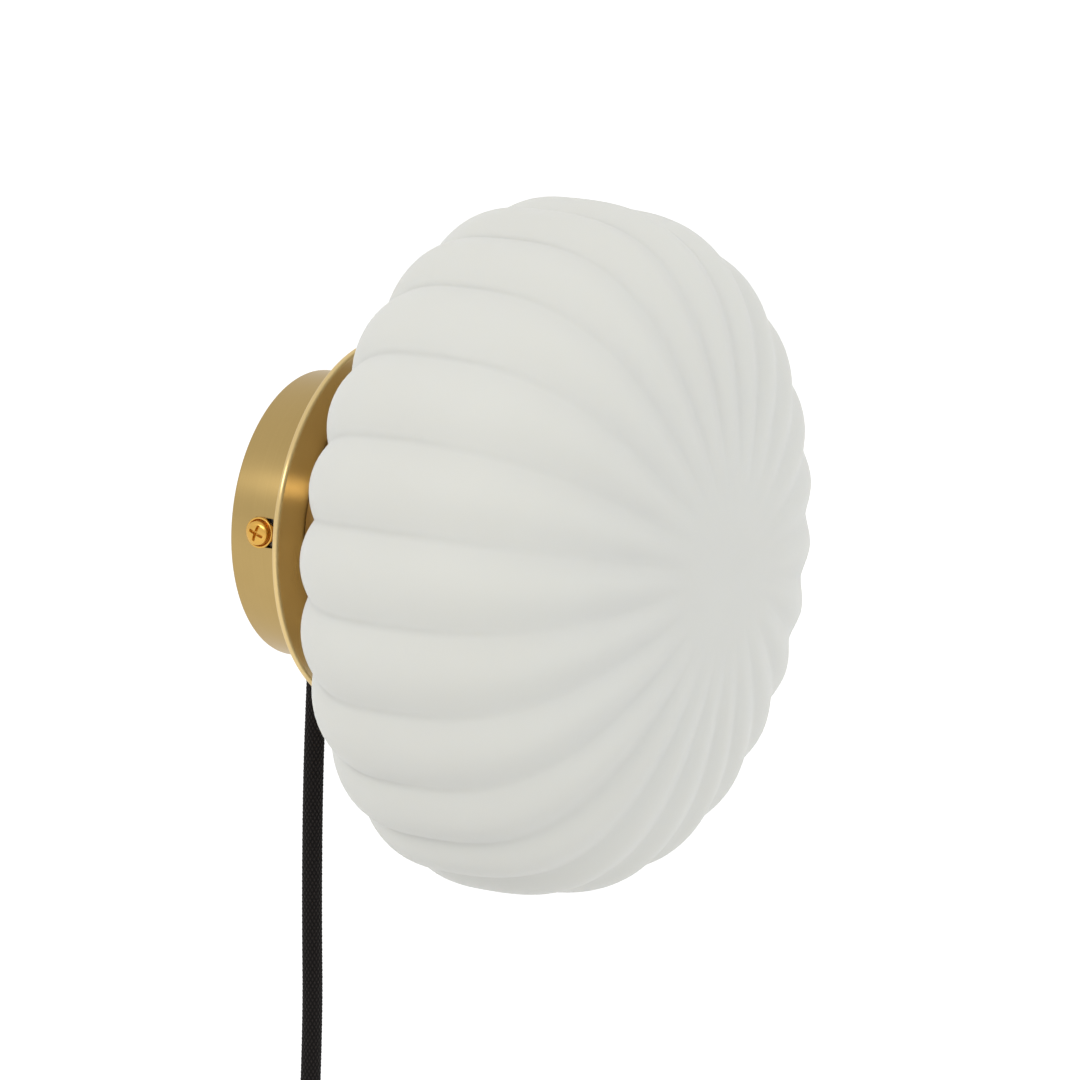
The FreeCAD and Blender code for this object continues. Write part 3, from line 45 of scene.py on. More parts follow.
backward = np.array([math.sin(azimuth) * math.cos(elevation),
                     -math.cos(azimuth) * math.cos(elevation), math.sin(elevation)])
across = np.array([math.cos(azimuth), math.sin(azimuth), 0])
upward = np.cross(backward, across)
level = across * math.cos(lean) + upward * math.sin(lean)
upright = upward * math.cos(lean) - across * math.sin(lean)
aim = np.array([0, -0.080, 0]) - level * 0.00137 + upright * 0.00157
eye = aim + backward * 1.2
camera = bpy.data.objects.new("camera", bpy.data.cameras.new("camera"))
bpy.context.scene.collection.objects.link(camera)
SENSOR = 36
camera.data.sensor_width = SENSOR
camera.data.lens = SENSOR * 4181 / 1080
turning = np.eye(4)
turning[:3, 0], turning[:3, 1], turning[:3, 2], turning[:3, 3] = level, upright, backward, eye
camera.matrix_world = Matrix(turning.tolist())
bpy.context.scene.camera = camera

# Braided cord, two lengths of black cotton covered flex of 6.2 mm: one from the clamp in the cup
# down the wall to the switch, one from the switch into a tied coil of the spare cord and on to the
# plug. The braid has 16 strands, and two of its crossings are 2.1 mm apart along the cord.
CORD = 0.0031
STRANDS = 16
BRAID_PITCH = 0.0021


def along_route(name, points):
    """Samples of the smooth line that has the points as its control points: the quadratic NURBS
    curve that starts and ends in its end points and cuts inside its corners."""
    line = bpy.data.curves.new(name, "CURVE")
    line.dimensions = "3D"
    line.resolution_u = 10
    spline = line.splines.new("NURBS")
    spline.points.add(len(points) - 1)
    spline.points.foreach_set("co", np.c_[points, np.ones(len(points))].ravel())
    spline.order_u = 3
    spline.use_endpoint_u = True
    holder = bpy.data.objects.new(name, line)
    bpy.context.scene.collection.objects.link(holder)
    bare = bpy.data.meshes.new_from_object(holder)
    samples = np.empty(3 * len(bare.vertices))
    bare.vertices.foreach_get("co", samples)
    bpy.data.objects.remove(holder)
    bpy.data.curves.remove(line)
    bpy.data.meshes.remove(bare)
    return samples.reshape(-1, 3)


def evenly(samples, step):
    """The same line with stations at equal distances: linear interpolation over its length."""
    lengths = np.r_[0, np.cumsum(np.linalg.norm(np.diff(samples, axis=0), axis=1))]
    count = max(int(lengths[-1] / step), 8) + 1
    stations = np.linspace(0, lengths[-1], count)
    return np.c_[[np.interp(stations, lengths, samples[:, i]) for i in range(3)]].T, stations


def rings_along(line):
    """Two unit vectors across the line at each station. The first one is carried along without
    twist: each is the last one less its part along the new direction. The second one is square
    to it."""
    ways = np.gradient(line, axis=0)
    ways /= np.linalg.norm(ways, axis=1)[:, None]
    first = np.empty_like(ways)
    side = np.cross(ways[0], [0.0, 1.0, 0.2])
    for index, way in enumerate(ways):
        side = side - way * side.dot(way)
        side /= np.linalg.norm(side)
        first[index] = side
    return first, np.cross(ways, first)


def surface(name, grid, uv=None, round_rows=False, round_columns=False, ends=(None, None),
            smooth=True):
    """A mesh over a grid of points (rows, columns, 3). Rows or columns may close on themselves. An
    end is a point that closes the first or last row with a fan. A closed form whose volume, the sum
    of a.(b x c) / 6 over its triangles, comes out negative has its faces turned round."""
    rows, columns = grid.shape[:2]
    index = np.arange(rows * columns).reshape(rows, columns)
    if round_rows:
        index = np.vstack([index, index[:1]])
    if round_columns:
        index = np.hstack([index, index[:, :1]])
    quads = np.stack([index[:-1, :-1], index[:-1, 1:], index[1:, 1:], index[1:, :-1]], axis=-1)
    quads = quads.reshape(-1, 4)
    points = grid.reshape(-1, 3)
    fans = []
    for end, row in zip(ends, (index[0], index[-1])):
        if end is not None:
            tip = np.full(len(row) - 1, len(points))
            points = np.vstack([points, end])
            ahead, behind = row[1:], row[:-1]
            if (row != index[0]).any():
                ahead, behind = behind, ahead
            fans.append(np.stack([tip, ahead, behind], axis=-1))
    corners = np.vstack([quads[:, [0, 1, 2]], quads[:, [0, 2, 3]], *fans])
    a, b, c = (points[corners[:, i]] - points.mean(0) for i in range(3))
    inside_out = np.einsum("ij,ij->i", a, np.cross(b, c)).sum() < 0
    faces = quads.tolist() + [fan for group in fans for fan in group.tolist()]
    if inside_out:
        faces = [face[::-1] for face in faces]
    mesh = bpy.data.meshes.new(name)
    mesh.from_pydata(points.tolist(), [], faces)
    if uv is not None:
        u, v = uv
        step_u, step_v = index.shape[1] - 1, index.shape[0] - 1
        rows_at, columns_at = np.divmod(np.arange(step_u * step_v), step_u)
        table = np.stack([np.stack([u[columns_at + i], v[rows_at + j]], axis=-1)
                          for j, i in ((0, 0), (0, 1), (1, 1), (1, 0))], axis=1)
        if inside_out:
            table = table[:, ::-1]
        flat = np.zeros((len(mesh.loops), 2))
        flat[:table.size // 2] = table.reshape(-1, 2)
        mesh.uv_layers.new(name="along").data.foreach_set("uv", flat.ravel())
    mesh.polygons.foreach_set("use_smooth", np.full(len(mesh.polygons), smooth))
    mesh.update()
    piece = bpy.data.objects.new(name, mesh)
    bpy.context.scene.collection.objects.link(piece)
    return piece


def braided_tube(name, samples, step, around, relief):
    """A tube with the relief of a braid: its radius is CORD + relief * (|sin a| * |sin b| - 1), where
    a and b are the phases of the strands that wind to the left and to the right."""
    line, stations = evenly(samples, step)
    first, second = rings_along(line)
    turn = np.linspace(0, 2 * np.pi, around, endpoint=False)
    strands = STRANDS * turn[None, :] / 2
    climb = np.pi * stations[:, None] / BRAID_PITCH
    bumps = np.abs(np.sin(strands + climb)) * np.abs(np.sin(strands - climb))
    radius = CORD + relief * (bumps - 1)
    grid = (line[:, None] + first[:, None] * (np.cos(turn)[:, None] * radius[..., None])
            + second[:, None] * (np.sin(turn)[:, None] * radius[..., None]))
    uv = (np.r_[turn, 2 * np.pi] / (2 * np.pi), stations)
    return surface(name, grid, uv, round_columns=True, ends=(line[0], line[-1]))


down_route = [(0, -0.0047, -0.0230), (0, -0.0047, -0.0500), (0, -0.0050, -0.0820),
              (0, -0.0066, -0.1200), (0, -0.0090, -0.1580), (0, -0.0090, -0.1960)]
down_line = along_route("down", down_route)
cord_down = braided_tube("cord_down", down_line, 0.00035, 96, 0.00022)

# The coil winds inward against the wall and outward on top of that: layer goes from 0 to 1, and
# the points stand out by what the smooth line cuts inside its corners.
OFF, PITCH, OUTER, TURNS, PER_TURN = 0.0038, 0.00665, 0.0496, 8, 24
COIL_DOWN = -0.304
CORNER = 0.75 + 0.25 * math.cos(2 * math.pi / PER_TURN)
coil_points = []
for step in range(1, TURNS * PER_TURN):
    turn = step / PER_TURN
    inward = turn - TURNS / 2
    reach = (OUTER - PITCH * (TURNS / 2 - abs(inward))) / CORNER
    layer = min(max(inward * 2 + 0.5, 0), 1)
    angle = math.pi + 2 * math.pi * turn
    coil_points.append((OUTER + reach * math.cos(angle), -OFF - PITCH * layer,
                        COIL_DOWN + reach * math.sin(angle)))
spare_route = [(0, -0.0090, -0.2470), (0, -0.0090, -0.2570), (0, -0.0072, -0.2675),
               (0, -0.0046, -0.2785), (0, -0.0038, -0.2885), (0, -0.0038, -0.2990), *coil_points,
               (0, -0.01045, -0.3090), (0, -0.01045, -0.3240), (0, -0.01045, -0.3738)]
spare_line = along_route("spare", spare_route)
cord_spare = braided_tube("cord_spare", spare_line, 0.0011, 28, 0.0)


def finish(name, colour, roughness, metallic=0.0):
    """A new material and its shader, whose plain values stand on the shader itself."""
    material = bpy.data.materials.new(name)
    material.use_nodes = True
    shader = material.node_tree.nodes["Principled BSDF"]
    shader.inputs["Base Color"].default_value = (*colour, 1)
    shader.inputs["Roughness"].default_value = roughness
    shader.inputs["Metallic"].default_value = metallic
    return material, shader


def node(material, kind, values=(), **settings):
    """A node in a material, with settings on it and plain values or links in its inputs."""
    made = material.node_tree.nodes.new("ShaderNode" + kind)
    for key, value in settings.items():
        setattr(made, key, value)
    for key, value in dict(values).items():
        if isinstance(value, bpy.types.NodeSocket):
            material.node_tree.links.new(value, made.inputs[key])
        else:
            made.inputs[key].default_value = value
    return made


def math_node(material, operation, *values):
    """The result of one sum, product or other operation on values or links"""
    return node(material, "Math", dict(enumerate(values)), operation=operation).outputs[0]


def two_colours(material, factor, low, high):
    """low where the factor is 0, and high where it is 1"""
    return node(material, "Mix", {"Factor": factor, 6: (*low, 1), 7: (*high, 1)},
                data_type="RGBA").outputs[2]


def link(material, output, shader, socket):
    """Joins an output to one of a shader's inputs by name"""
    material.node_tree.links.new(output, shader.inputs[socket])


def braid_finish():
    """Black cotton braid. With u round the cord and v along it, each crossing is a bump of height
    |sin(STRANDS pi u + pi v / pitch)| |sin(STRANDS pi u - pi v / pitch)|, with a painted highlight that makes its top paler."""
    material, shader = finish("black_braid", (0.012, 0.0095, 0.009), 0.85)
    place = node(material, "UVMap", uv_map="along")
    parts = node(material, "SeparateXYZ", {0: place.outputs[0]})
    strand = math_node(material, "MULTIPLY", parts.outputs[0], STRANDS * math.pi)
    climb = math_node(material, "MULTIPLY", parts.outputs[1], math.pi / BRAID_PITCH)
    left, right = (math_node(material, "ABSOLUTE", math_node(
        material, "SINE", math_node(material, way, strand, climb))) for way in ("ADD", "SUBTRACT"))
    bump = math_node(material, "MULTIPLY", left, right)
    fibre = node(material, "TexNoise", {"Vector": node(material, "TexCoord").outputs["Object"],
                                        "Scale": 2600.0, "Detail": 3.0}).outputs[0]
    # Painted highlight: the crest of each crossing is paler, flecked by the fibre noise.
    top = math_node(material, "MULTIPLY", math_node(material, "POWER", bump, 2.0), fibre)
    link(material, two_colours(material, top, (0.004, 0.003, 0.0028), (0.050, 0.041, 0.038)), shader,
         "Base Color")
    height = math_node(material, "ADD", bump, math_node(material, "MULTIPLY", fibre, 0.35))
    relief = node(material, "Bump", {"Height": height, "Distance": 0.00018, "Strength": 0.8})
    link(material, relief.outputs[0], shader, "Normal")
    shader.inputs["Sheen Weight"].default_value = 0.04
    shader.inputs["Specular IOR Level"].default_value = 0.15
    return material


black_braid = braid_finish()
for piece, nodes, body in ((cord_down, ["cord_upper"], "lamp"),
                           (cord_spare, ["cord_link", "cord_coil", "cord_tail"], "lamp")):
    piece.data.materials.append(black_braid)
    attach(piece, body)
    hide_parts(*nodes)

# Switch and plug, moulded in black plastic, on the cord. The switch has two screwed halves and a
# glossy rocker. The plug has a ribbed rubber sleeve and two nickel plated pins with guards.


def dress(material, *nodes):
    """Gives a material to pieces that keep their own mesh"""
    for name in nodes:
        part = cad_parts[name]
        part.data.materials.clear()
        part.data.materials.append(material)


def speckled(name, low, high, roughness, scale, depth=0.00002, metallic=0.0):
    """A fine grain in tone, roughness and height, for moulded, cast and plated surfaces."""
    material, shader = finish(name, high, roughness, metallic)
    place = node(material, "TexCoord").outputs["Object"]
    grain = node(material, "TexNoise", {"Vector": place, "Scale": scale, "Detail": 4.0}).outputs[0]
    cloud = node(material, "TexNoise", {"Vector": place, "Scale": scale / 30,
                                        "Detail": 2.0}).outputs[0]
    tone = math_node(material, "MULTIPLY", math_node(material, "ADD", grain, cloud), 0.5)
    link(material, two_colours(material, tone, low, high), shader, "Base Color")
    rough = node(material, "MapRange", {0: tone, 1: 0.3, 2: 0.7, 3: roughness * 0.85,
                                        4: min(roughness * 1.15, 1)})
    link(material, rough.outputs[0], shader, "Roughness")
    relief = node(material, "Bump", {"Height": grain, "Distance": depth, "Strength": 0.5})
    link(material, relief.outputs[0], shader, "Normal")
    return material


CREASE = math.radians(32)


def eased_copy(name, width, body, material):
    """A copy of a part's mesh whose flats are joined, and whose edges sharper than CREASE get a
    small round. It stands for the part's own mesh."""
    form = bmesh.new()
    form.from_mesh(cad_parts[name].data)
    bmesh.ops.remove_doubles(form, verts=form.verts, dist=2e-6)
    bmesh.ops.dissolve_limit(form, angle_limit=math.radians(0.6), verts=form.verts, edges=form.edges)
    mesh = bpy.data.meshes.new(name + "_eased")
    form.to_mesh(mesh)
    form.free()
    mesh.polygons.foreach_set("use_smooth", np.ones(len(mesh.polygons), bool))
    mesh.set_sharp_from_angle(angle=CREASE)
    copy = bpy.data.objects.new(name + "_eased", mesh)
    bpy.context.scene.collection.objects.link(copy)
    edge = copy.modifiers.new("edge", "BEVEL")
    edge.width = width
    edge.segments = 3
    edge.limit_method = "ANGLE"
    edge.angle_limit = CREASE
    edge.harden_normals = True
    mesh.materials.append(material)
    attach(copy, body)
    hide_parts(name)
    return copy


black_plastic = speckled("black_plastic", (0.008, 0.008, 0.008), (0.020, 0.020, 0.020), 0.45, 2200.0,
                         0.00004)
black_gloss = speckled("black_gloss", (0.006, 0.006, 0.006), (0.014, 0.014, 0.014), 0.22, 1500.0)
rubber = speckled("black_rubber", (0.008, 0.008, 0.008), (0.022, 0.021, 0.020), 0.7, 1400.0)
nickel = speckled("nickel", (0.50, 0.48, 0.45), (0.66, 0.64, 0.60), 0.2, 700.0, metallic=1.0)
switch_steel = speckled("switch_steel", (0.36, 0.36, 0.35), (0.55, 0.55, 0.53), 0.32, 900.0,
                        metallic=1.0)
dress(switch_steel, "switch_screws", "rocker_axle")
switch = [eased_copy("switch_base", 0.0003, "lamp", black_plastic),
          eased_copy("switch_cover", 0.0003, "lamp", black_plastic),
          eased_copy("switch_rocker", 0.0004, "rocker", black_gloss)]
plug = [eased_copy("plug_body", 0.0008, "lamp", black_plastic),
        eased_copy("plug_sleeve", 0.0003, "lamp", rubber),
        eased_copy("mains_pins", 0.0004, "lamp", nickel),
        eased_copy("pin_guards", 0.0001, "lamp", black_plastic)]

# Tie, a band of hook and loop tape round the coiled turns at three o'clock, whose end laps over its
# start in front. It is 10 mm wide and 0.9 mm thick.


def eased(low, value, high):
    """0 below low and 1 above high, by 3 t^2 - 2 t^3 between them."""
    share = np.clip((value - low) / (high - low), 0, 1)
    return share * share * (3 - 2 * share)


def round_outline(left, right, low, high, radius, steps=6):
    """A rectangle whose corners are quarter circles."""
    quarter = np.linspace(0, np.pi / 2, steps + 1)
    outline = []
    for x, y, start in ((right - radius, high - radius, 0), (left + radius, high - radius, 1),
                        (left + radius, low + radius, 2), (right - radius, low + radius, 3)):
        angle = quarter + start * np.pi / 2
        outline.extend(np.stack([x + radius * np.cos(angle), y + radius * np.sin(angle)], axis=-1))
    return np.array(outline)


def tie_band():
    """A strip carried round a rectangle with rounded corners, and on over its own start: the way out
    from the rectangle grows by one thickness in a smooth step before the lap. The loop starts in
    the middle of the front, after three of the corners."""
    left, right, low, high, bend, steps = 0.0719, 0.0993, -0.01385, -0.00035, 0.002, 10
    corners = round_outline(left, right, low, high, bend, steps)
    first = 3 * (steps + 1)
    centres = np.clip(corners, [left + bend, low + bend], [right - bend, high - bend])
    outward = corners - centres
    outward /= np.linalg.norm(outward, axis=1)[:, None]
    loop = np.vstack([corners[first:], corners[:first]])
    away = np.vstack([outward[first:], outward[:first]])
    start = (loop[-1] + loop[0]) / 2
    way = np.vstack([start, loop, start, loop[:1] * 0.55 + start * 0.45])
    away = np.vstack([away[0], away, away[-1], away[0]])
    away[0] = away[-1] = away[-2] = [0, -1]
    lengths = np.r_[0, np.cumsum(np.linalg.norm(np.diff(way, axis=0), axis=1))]
    stations = np.linspace(0, lengths[-1], 260)
    place = np.stack([np.interp(stations, lengths, way[:, i]) for i in range(2)], axis=-1)
    way_out = np.stack([np.interp(stations, lengths, away[:, i]) for i in range(2)], axis=-1)
    way_out /= np.linalg.norm(way_out, axis=1)[:, None]
    lift = 0.00045 + 0.00095 * eased(lengths[-2] - 0.007, stations, lengths[-2] - 0.001)
    section = np.array([(-5, -0.25), (-4.8, -0.45), (4.8, -0.45), (5, -0.25), (5, 0.25), (4.8, 0.45),
                        (-4.8, 0.45), (-5, 0.25)]) / 1000
    grid = np.stack([
        place[:, None, 0] + way_out[:, None, 0] * (lift[:, None] + section[None, :, 1]),
        place[:, None, 1] + way_out[:, None, 1] * (lift[:, None] + section[None, :, 1]),
        np.repeat(section[None, :, 0] + COIL_DOWN, len(place), axis=0)], axis=-1)
    return surface("tie_band", grid, round_columns=True, ends=(grid[0].mean(0), grid[-1].mean(0)))


tie = tie_band()
tie.data.materials.append(speckled("hook_tape", (0.008, 0.008, 0.009), (0.04, 0.04, 0.042), 0.9,
                                   2600.0, 0.0002))
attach(tie, "lamp")
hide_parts("coil_tie")

# Glass shade, mouth blown into a ribbed mould and etched to a satin surface: 24 convex ribs that
# meet in sharp valleys and fade into a plain middle. Its neck stands in the brass ring on the
# plate. RIB_TURN is how far the first valley lies over the horizontal.
RADIUS, MIDDLE, FRONT, BACK = 0.100, 0.080, 0.0595, 0.0445
FRONT_ROUND, BACK_ROUND = 2.8, 2.5
RIBS, RIB_DEPTH, RIB_TURN, PER_RIB = 24, 0.0036, math.radians(6), 14
NECK, NECK_END, GLASS = 0.0370, 0.0270, 0.0032
SHOULDER, LIP = 0.0025, 0.0008


def shade_section(angle, radius, front, back):
    """Points (radius, forward) and outward directions of |r / R|^n + |f / depth|^n = 1 at angles
    from the widest section, with its own depth and n before and behind it."""
    depth = np.where(angle >= 0, front, back)
    power = np.where(angle >= 0, FRONT_ROUND, BACK_ROUND)
    total = (np.abs(np.cos(angle)) / radius) ** power + (np.abs(np.sin(angle)) / depth) ** power
    reach = total ** (-1 / power)
    point = np.stack([reach * np.cos(angle), reach * np.sin(angle)], axis=-1)
    outward = np.stack([(np.abs(point[:, 0]) / radius) ** (power - 1) / radius,
                        np.sign(angle) * (np.abs(point[:, 1]) / depth) ** (power - 1) / depth], axis=-1)
    return point, outward / np.linalg.norm(outward, axis=1)[:, None]


def section_angle(distance, radius, depth, power):
    """The angle behind the widest section at which the section is at a distance from the axis."""
    return -math.atan2(depth * (1 - (distance / radius) ** power) ** (1 / power), distance)


def glass_shade():
    """Rows run from the front's middle over the ribs to the neck, round its edge and back inside. A
    rib's surface is the section less outward * depth * p(u), with u from -1 to 1 across the rib. p is
    u^2 behind the widest section, and blends into (1 - cos(pi u)) / 2, whose valleys are soft, in
    front of it, where the mould's ribs are also a third shallower."""
    root = section_angle(NECK + 0.004, RADIUS, BACK, BACK_ROUND)
    angle = np.linspace(math.pi / 2 - 0.02, root, 150)
    point, outward = shade_section(angle, RADIUS, FRONT, BACK)
    distance = point[:, 0]
    fade_front, fade_back = eased(0.014, distance, 0.050), eased(0.041, distance, 0.053)
    fade = np.where(angle > 0, fade_front, fade_back)
    ahead = eased(-0.15, angle, 0.65)
    depth = RIB_DEPTH * distance / RADIUS * fade * (1 - 0.33 * ahead)
    off = MIDDLE + point[:, 1]
    bend = np.linspace(0, np.pi / 2, 7)[1:]
    shoulder = np.stack([NECK + SHOULDER * (1 - np.sin(bend)),
                         off[-1] - SHOULDER * (1 - np.cos(bend))], axis=-1)
    lip = np.stack([NECK - LIP * (1 - np.cos(bend)), NECK_END + LIP * (1 - np.sin(bend))], axis=-1)
    bore = NECK - GLASS
    inner_root = section_angle(NECK + 0.001, RADIUS - RIB_DEPTH - GLASS, BACK - GLASS, BACK_ROUND)
    inner, _ = shade_section(np.linspace(inner_root, math.pi / 2 - 0.03, 60),
                             RADIUS - RIB_DEPTH - GLASS, FRONT - GLASS, BACK - GLASS)
    inner[:, 1] += MIDDLE
    turn = np.linspace(0, np.pi / 2, 6)
    throat = np.stack([bore + (inner[0, 0] - bore) * (1 - np.cos(turn)),
                       inner[0, 1] - 0.0042 * (1 - np.sin(turn))], axis=-1)[:-1]
    plain = np.vstack([shoulder, [[NECK, NECK_END + 0.003]], lip, [[bore + 0.0004, NECK_END]],
                       [[bore, NECK_END + 0.0004]], throat, inner])
    columns = RIBS * PER_RIB
    across = np.arange(columns) % PER_RIB / (PER_RIB / 2) - 1
    around = RIB_TURN + np.arange(columns) * 2 * np.pi / columns
    soft = 0.75 * ahead[:, None]
    rib = depth[:, None] * ((1 - soft) * across ** 2 + soft * (1 - np.cos(np.pi * across)) / 2)
    radius = distance[:, None] - outward[:, :1] * rib
    forward = off[:, None] - outward[:, 1:] * rib
    radius = np.vstack([radius, np.repeat(plain[:, :1], columns, axis=1)])
    forward = np.vstack([forward, np.repeat(plain[:, 1:], columns, axis=1)])
    grid = np.stack([radius * np.cos(around), -forward, radius * np.sin(around)], axis=-1)
    return surface("shade_glass", grid, round_columns=True,
                   ends=([0, -MIDDLE - FRONT, 0], [0, -MIDDLE - FRONT + GLASS, 0]))


shade_glass = glass_shade()


def opal_finish():
    """Etched opal glass: white through and through, a little uneven in tone, with a soft sheen."""
    material, shader = finish("opal_glass", (0.74, 0.75, 0.71), 0.5)
    place = node(material, "TexCoord").outputs["Object"]
    cloud = node(material, "TexNoise", {"Vector": place, "Scale": 22.0, "Detail": 2.0}).outputs[0]
    link(material, two_colours(material, cloud, (0.745, 0.745, 0.70), (0.775, 0.78, 0.74)), shader,
         "Base Color")
    grain = node(material, "TexNoise", {"Vector": place, "Scale": 1400.0, "Detail": 2.0}).outputs[0]
    rough = node(material, "MapRange", {0: grain, 1: 0.3, 2: 0.7, 3: 0.46, 4: 0.56})
    link(material, rough.outputs[0], shader, "Roughness")
    relief = node(material, "Bump", {"Height": grain, "Distance": 0.00002, "Strength": 0.3})
    link(material, relief.outputs[0], shader, "Normal")
    shader.inputs["Subsurface Weight"].default_value = 0.6
    shader.inputs["Subsurface Radius"].default_value = (1.0, 0.95, 0.85)
    shader.inputs["Subsurface Scale"].default_value = 0.006
    shader.inputs["Specular IOR Level"].default_value = 0.2
    return material


shade_glass.data.materials.append(opal_finish())
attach(shade_glass, "shade")
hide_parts("glass_shade")

# Gasket, a clear silicone ring that the neck stands on and that turns with the glass.
silicone = speckled("silicone", (0.58, 0.59, 0.57), (0.66, 0.67, 0.65), 0.35, 500.0)
eased_copy("gasket", 0.0003, "gasket", silicone)

# Wall cup, front plate and shade ring, spun from brass sheet and brushed round their axis. The cup
# has a window for each side screw, a notch for the cord and two slots for the wall screws.


def eased_profile(corners, steps=6):
    """A closed section with its corners rounded: a corner is (radius, off the wall, bend), and a bend
    is an arc that touches both sides, whose ends are bend / tan(half the angle) from the corner."""
    outline = []
    spots = np.array([corner[:2] for corner in corners])
    for index, corner in enumerate(corners):
        here = spots[index]
        if corner[2] == 0:
            outline.append(here)
            continue
        before, after = spots[index - 1] - here, spots[(index + 1) % len(spots)] - here
        before /= np.linalg.norm(before)
        after /= np.linalg.norm(after)
        half = math.acos(np.clip(before.dot(after), -1, 1)) / 2
        trim = corner[2] / math.tan(half)
        between = (before + after) / np.linalg.norm(before + after)
        centre = here + between * corner[2] / math.sin(half)
        start, stop = here + before * trim - centre, here + after * trim - centre
        sweep = math.acos(np.clip(start.dot(stop) / corner[2] ** 2, -1, 1))
        for share in np.linspace(0, 1, steps + 1):
            spoke = start * math.sin((1 - share) * sweep) + stop * math.sin(share * sweep)
            outline.append(centre + spoke / math.sin(sweep))
    return np.array(outline)


def spun(name, section, columns=240):
    """A closed section (radius, off the wall) turned about the lamp's axis."""
    turn = np.linspace(0, 2 * np.pi, columns, endpoint=False)
    grid = np.stack([section[:, :1] * np.cos(turn), np.repeat(-section[:, 1:], columns, axis=1),
                     section[:, :1] * np.sin(turn)], axis=-1)
    return surface(name, grid, round_rows=True, round_columns=True)


def cut_with(piece, cutters):
    """The piece less some closed forms, as a plain mesh with its flat and round parts kept apart."""
    for cutter in cutters:
        opening = piece.modifiers.new("opening", "BOOLEAN")
        opening.object = cutter
        opening.solver = "EXACT"
    bpy.context.view_layer.update()
    evaluated = piece.evaluated_get(bpy.context.evaluated_depsgraph_get())
    cut_mesh = bpy.data.meshes.new_from_object(evaluated)
    piece.modifiers.clear()
    piece.data = cut_mesh
    for cutter in cutters:
        bpy.data.objects.remove(cutter)
    piece.data.polygons.foreach_set("use_smooth", np.ones(len(piece.data.polygons), bool))
    piece.data.set_sharp_from_angle(angle=math.radians(35))


def prism(name, outline, low, high, axis):
    """A closed outline carried straight from low to high along an axis: 0 is x, 1 is y, 2 is z."""
    flat = np.array(outline)
    grid = np.stack([np.insert(flat, axis, level, axis=1) for level in (low, high)])
    return surface(name, grid, round_columns=True, ends=(grid[0].mean(0), grid[1].mean(0)),
                   smooth=False)


def brushed_brass(name, low, high, roughness, lines):
    """Brass brushed in rings: fine tones follow the distance from the lamp's axis and from the wall,
    sqrt(x^2 + z^2) and y, so that they run round it. Broad clouds of handling lie over them."""
    material, shader = finish(name, high, roughness, 1.0)
    place = node(material, "TexCoord").outputs["Object"]
    parts = node(material, "SeparateXYZ", {0: place})
    reach = math_node(material, "SQRT", math_node(material, "ADD",
                      math_node(material, "POWER", parts.outputs[0], 2.0),
                      math_node(material, "POWER", parts.outputs[2], 2.0)))
    rings = node(material, "CombineXYZ", {0: math_node(material, "MULTIPLY", reach, lines),
                                          1: math_node(material, "MULTIPLY", parts.outputs[1], lines)})
    stroke = node(material, "TexNoise", {"Vector": rings.outputs[0], "Scale": 1.0, "Detail": 4.0,
                                         "Roughness": 0.7}).outputs[0]
    cloud = node(material, "TexNoise", {"Vector": place, "Scale": 45.0, "Detail": 3.0}).outputs[0]
    tone = math_node(material, "ADD", math_node(material, "MULTIPLY", stroke, 0.55),
                     math_node(material, "MULTIPLY", cloud, 0.45))
    link(material, two_colours(material, tone, low, high), shader, "Base Color")
    rough = math_node(material, "ADD", math_node(material, "MULTIPLY", stroke, 0.16),
                      math_node(material, "MULTIPLY", cloud, 0.10))
    link(material, math_node(material, "ADD", rough, roughness - 0.13), shader, "Roughness")
    relief = node(material, "Bump", {"Height": stroke, "Distance": 0.00002, "Strength": 0.35})
    link(material, relief.outputs[0], shader, "Normal")
    shader.inputs["Anisotropic"].default_value = 0.8
    shader.inputs["Anisotropic Rotation"].default_value = 0.25
    tangent = node(material, "Tangent", direction_type="RADIAL", axis="Y")
    link(material, tangent.outputs[0], shader, "Tangent")
    return material


brass = brushed_brass("brushed_brass", (0.37, 0.25, 0.09), (0.52, 0.375, 0.155), 0.36, 9000.0)
# The plate and the shade ring get a lighter copy of the same brass. This is painted light: it brightens
# the plate's face where the glass shades it.
brass_painted_brighter = brushed_brass("brass_painted_brighter", (0.62, 0.45, 0.20), (0.76, 0.58, 0.28), 0.30, 9000.0)

CUP, CUP_WALL, CUP_DEPTH, CUP_HOLE = 0.0425, 0.0015, 0.0216, 0.0210
cup = spun("brass_cup", eased_profile([
    (CUP_HOLE, 0, 0), (CUP, 0, 0.0008), (CUP, CUP_DEPTH, 0.00035),
    (CUP - CUP_WALL, CUP_DEPTH, 0.00035), (CUP - CUP_WALL, CUP_WALL, 0.0006),
    (CUP_HOLE, CUP_WALL, 0.0002)]))
window = round_outline(-0.0146, -0.0084, -0.0043, 0.0043, 0.0004, 3)
openings = [prism("window", window, -0.06, 0.06, 0)]
for middle in (-0.030, 0.030):
    slot = round_outline(middle - 0.0045, middle + 0.0045, -0.0024, 0.0024, 0.00239)
    openings.append(prism("slot", slot, -0.004, 0.002, 1))
NOTCH, CORD_OFF = 0.0043, -0.0047
notch = [(-NOTCH, 0.004), (-NOTCH, CORD_OFF)]
notch += [(NOTCH * math.cos(a), CORD_OFF + NOTCH * math.sin(a))
          for a in np.linspace(-np.pi, 0, 17)[1:]]
notch += [(NOTCH, 0.004)]
openings.append(prism("notch", notch, -0.060, -0.03575, 2))
cut_with(cup, openings)
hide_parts("wall_cup")

plate_back = CUP_DEPTH + 0.0004
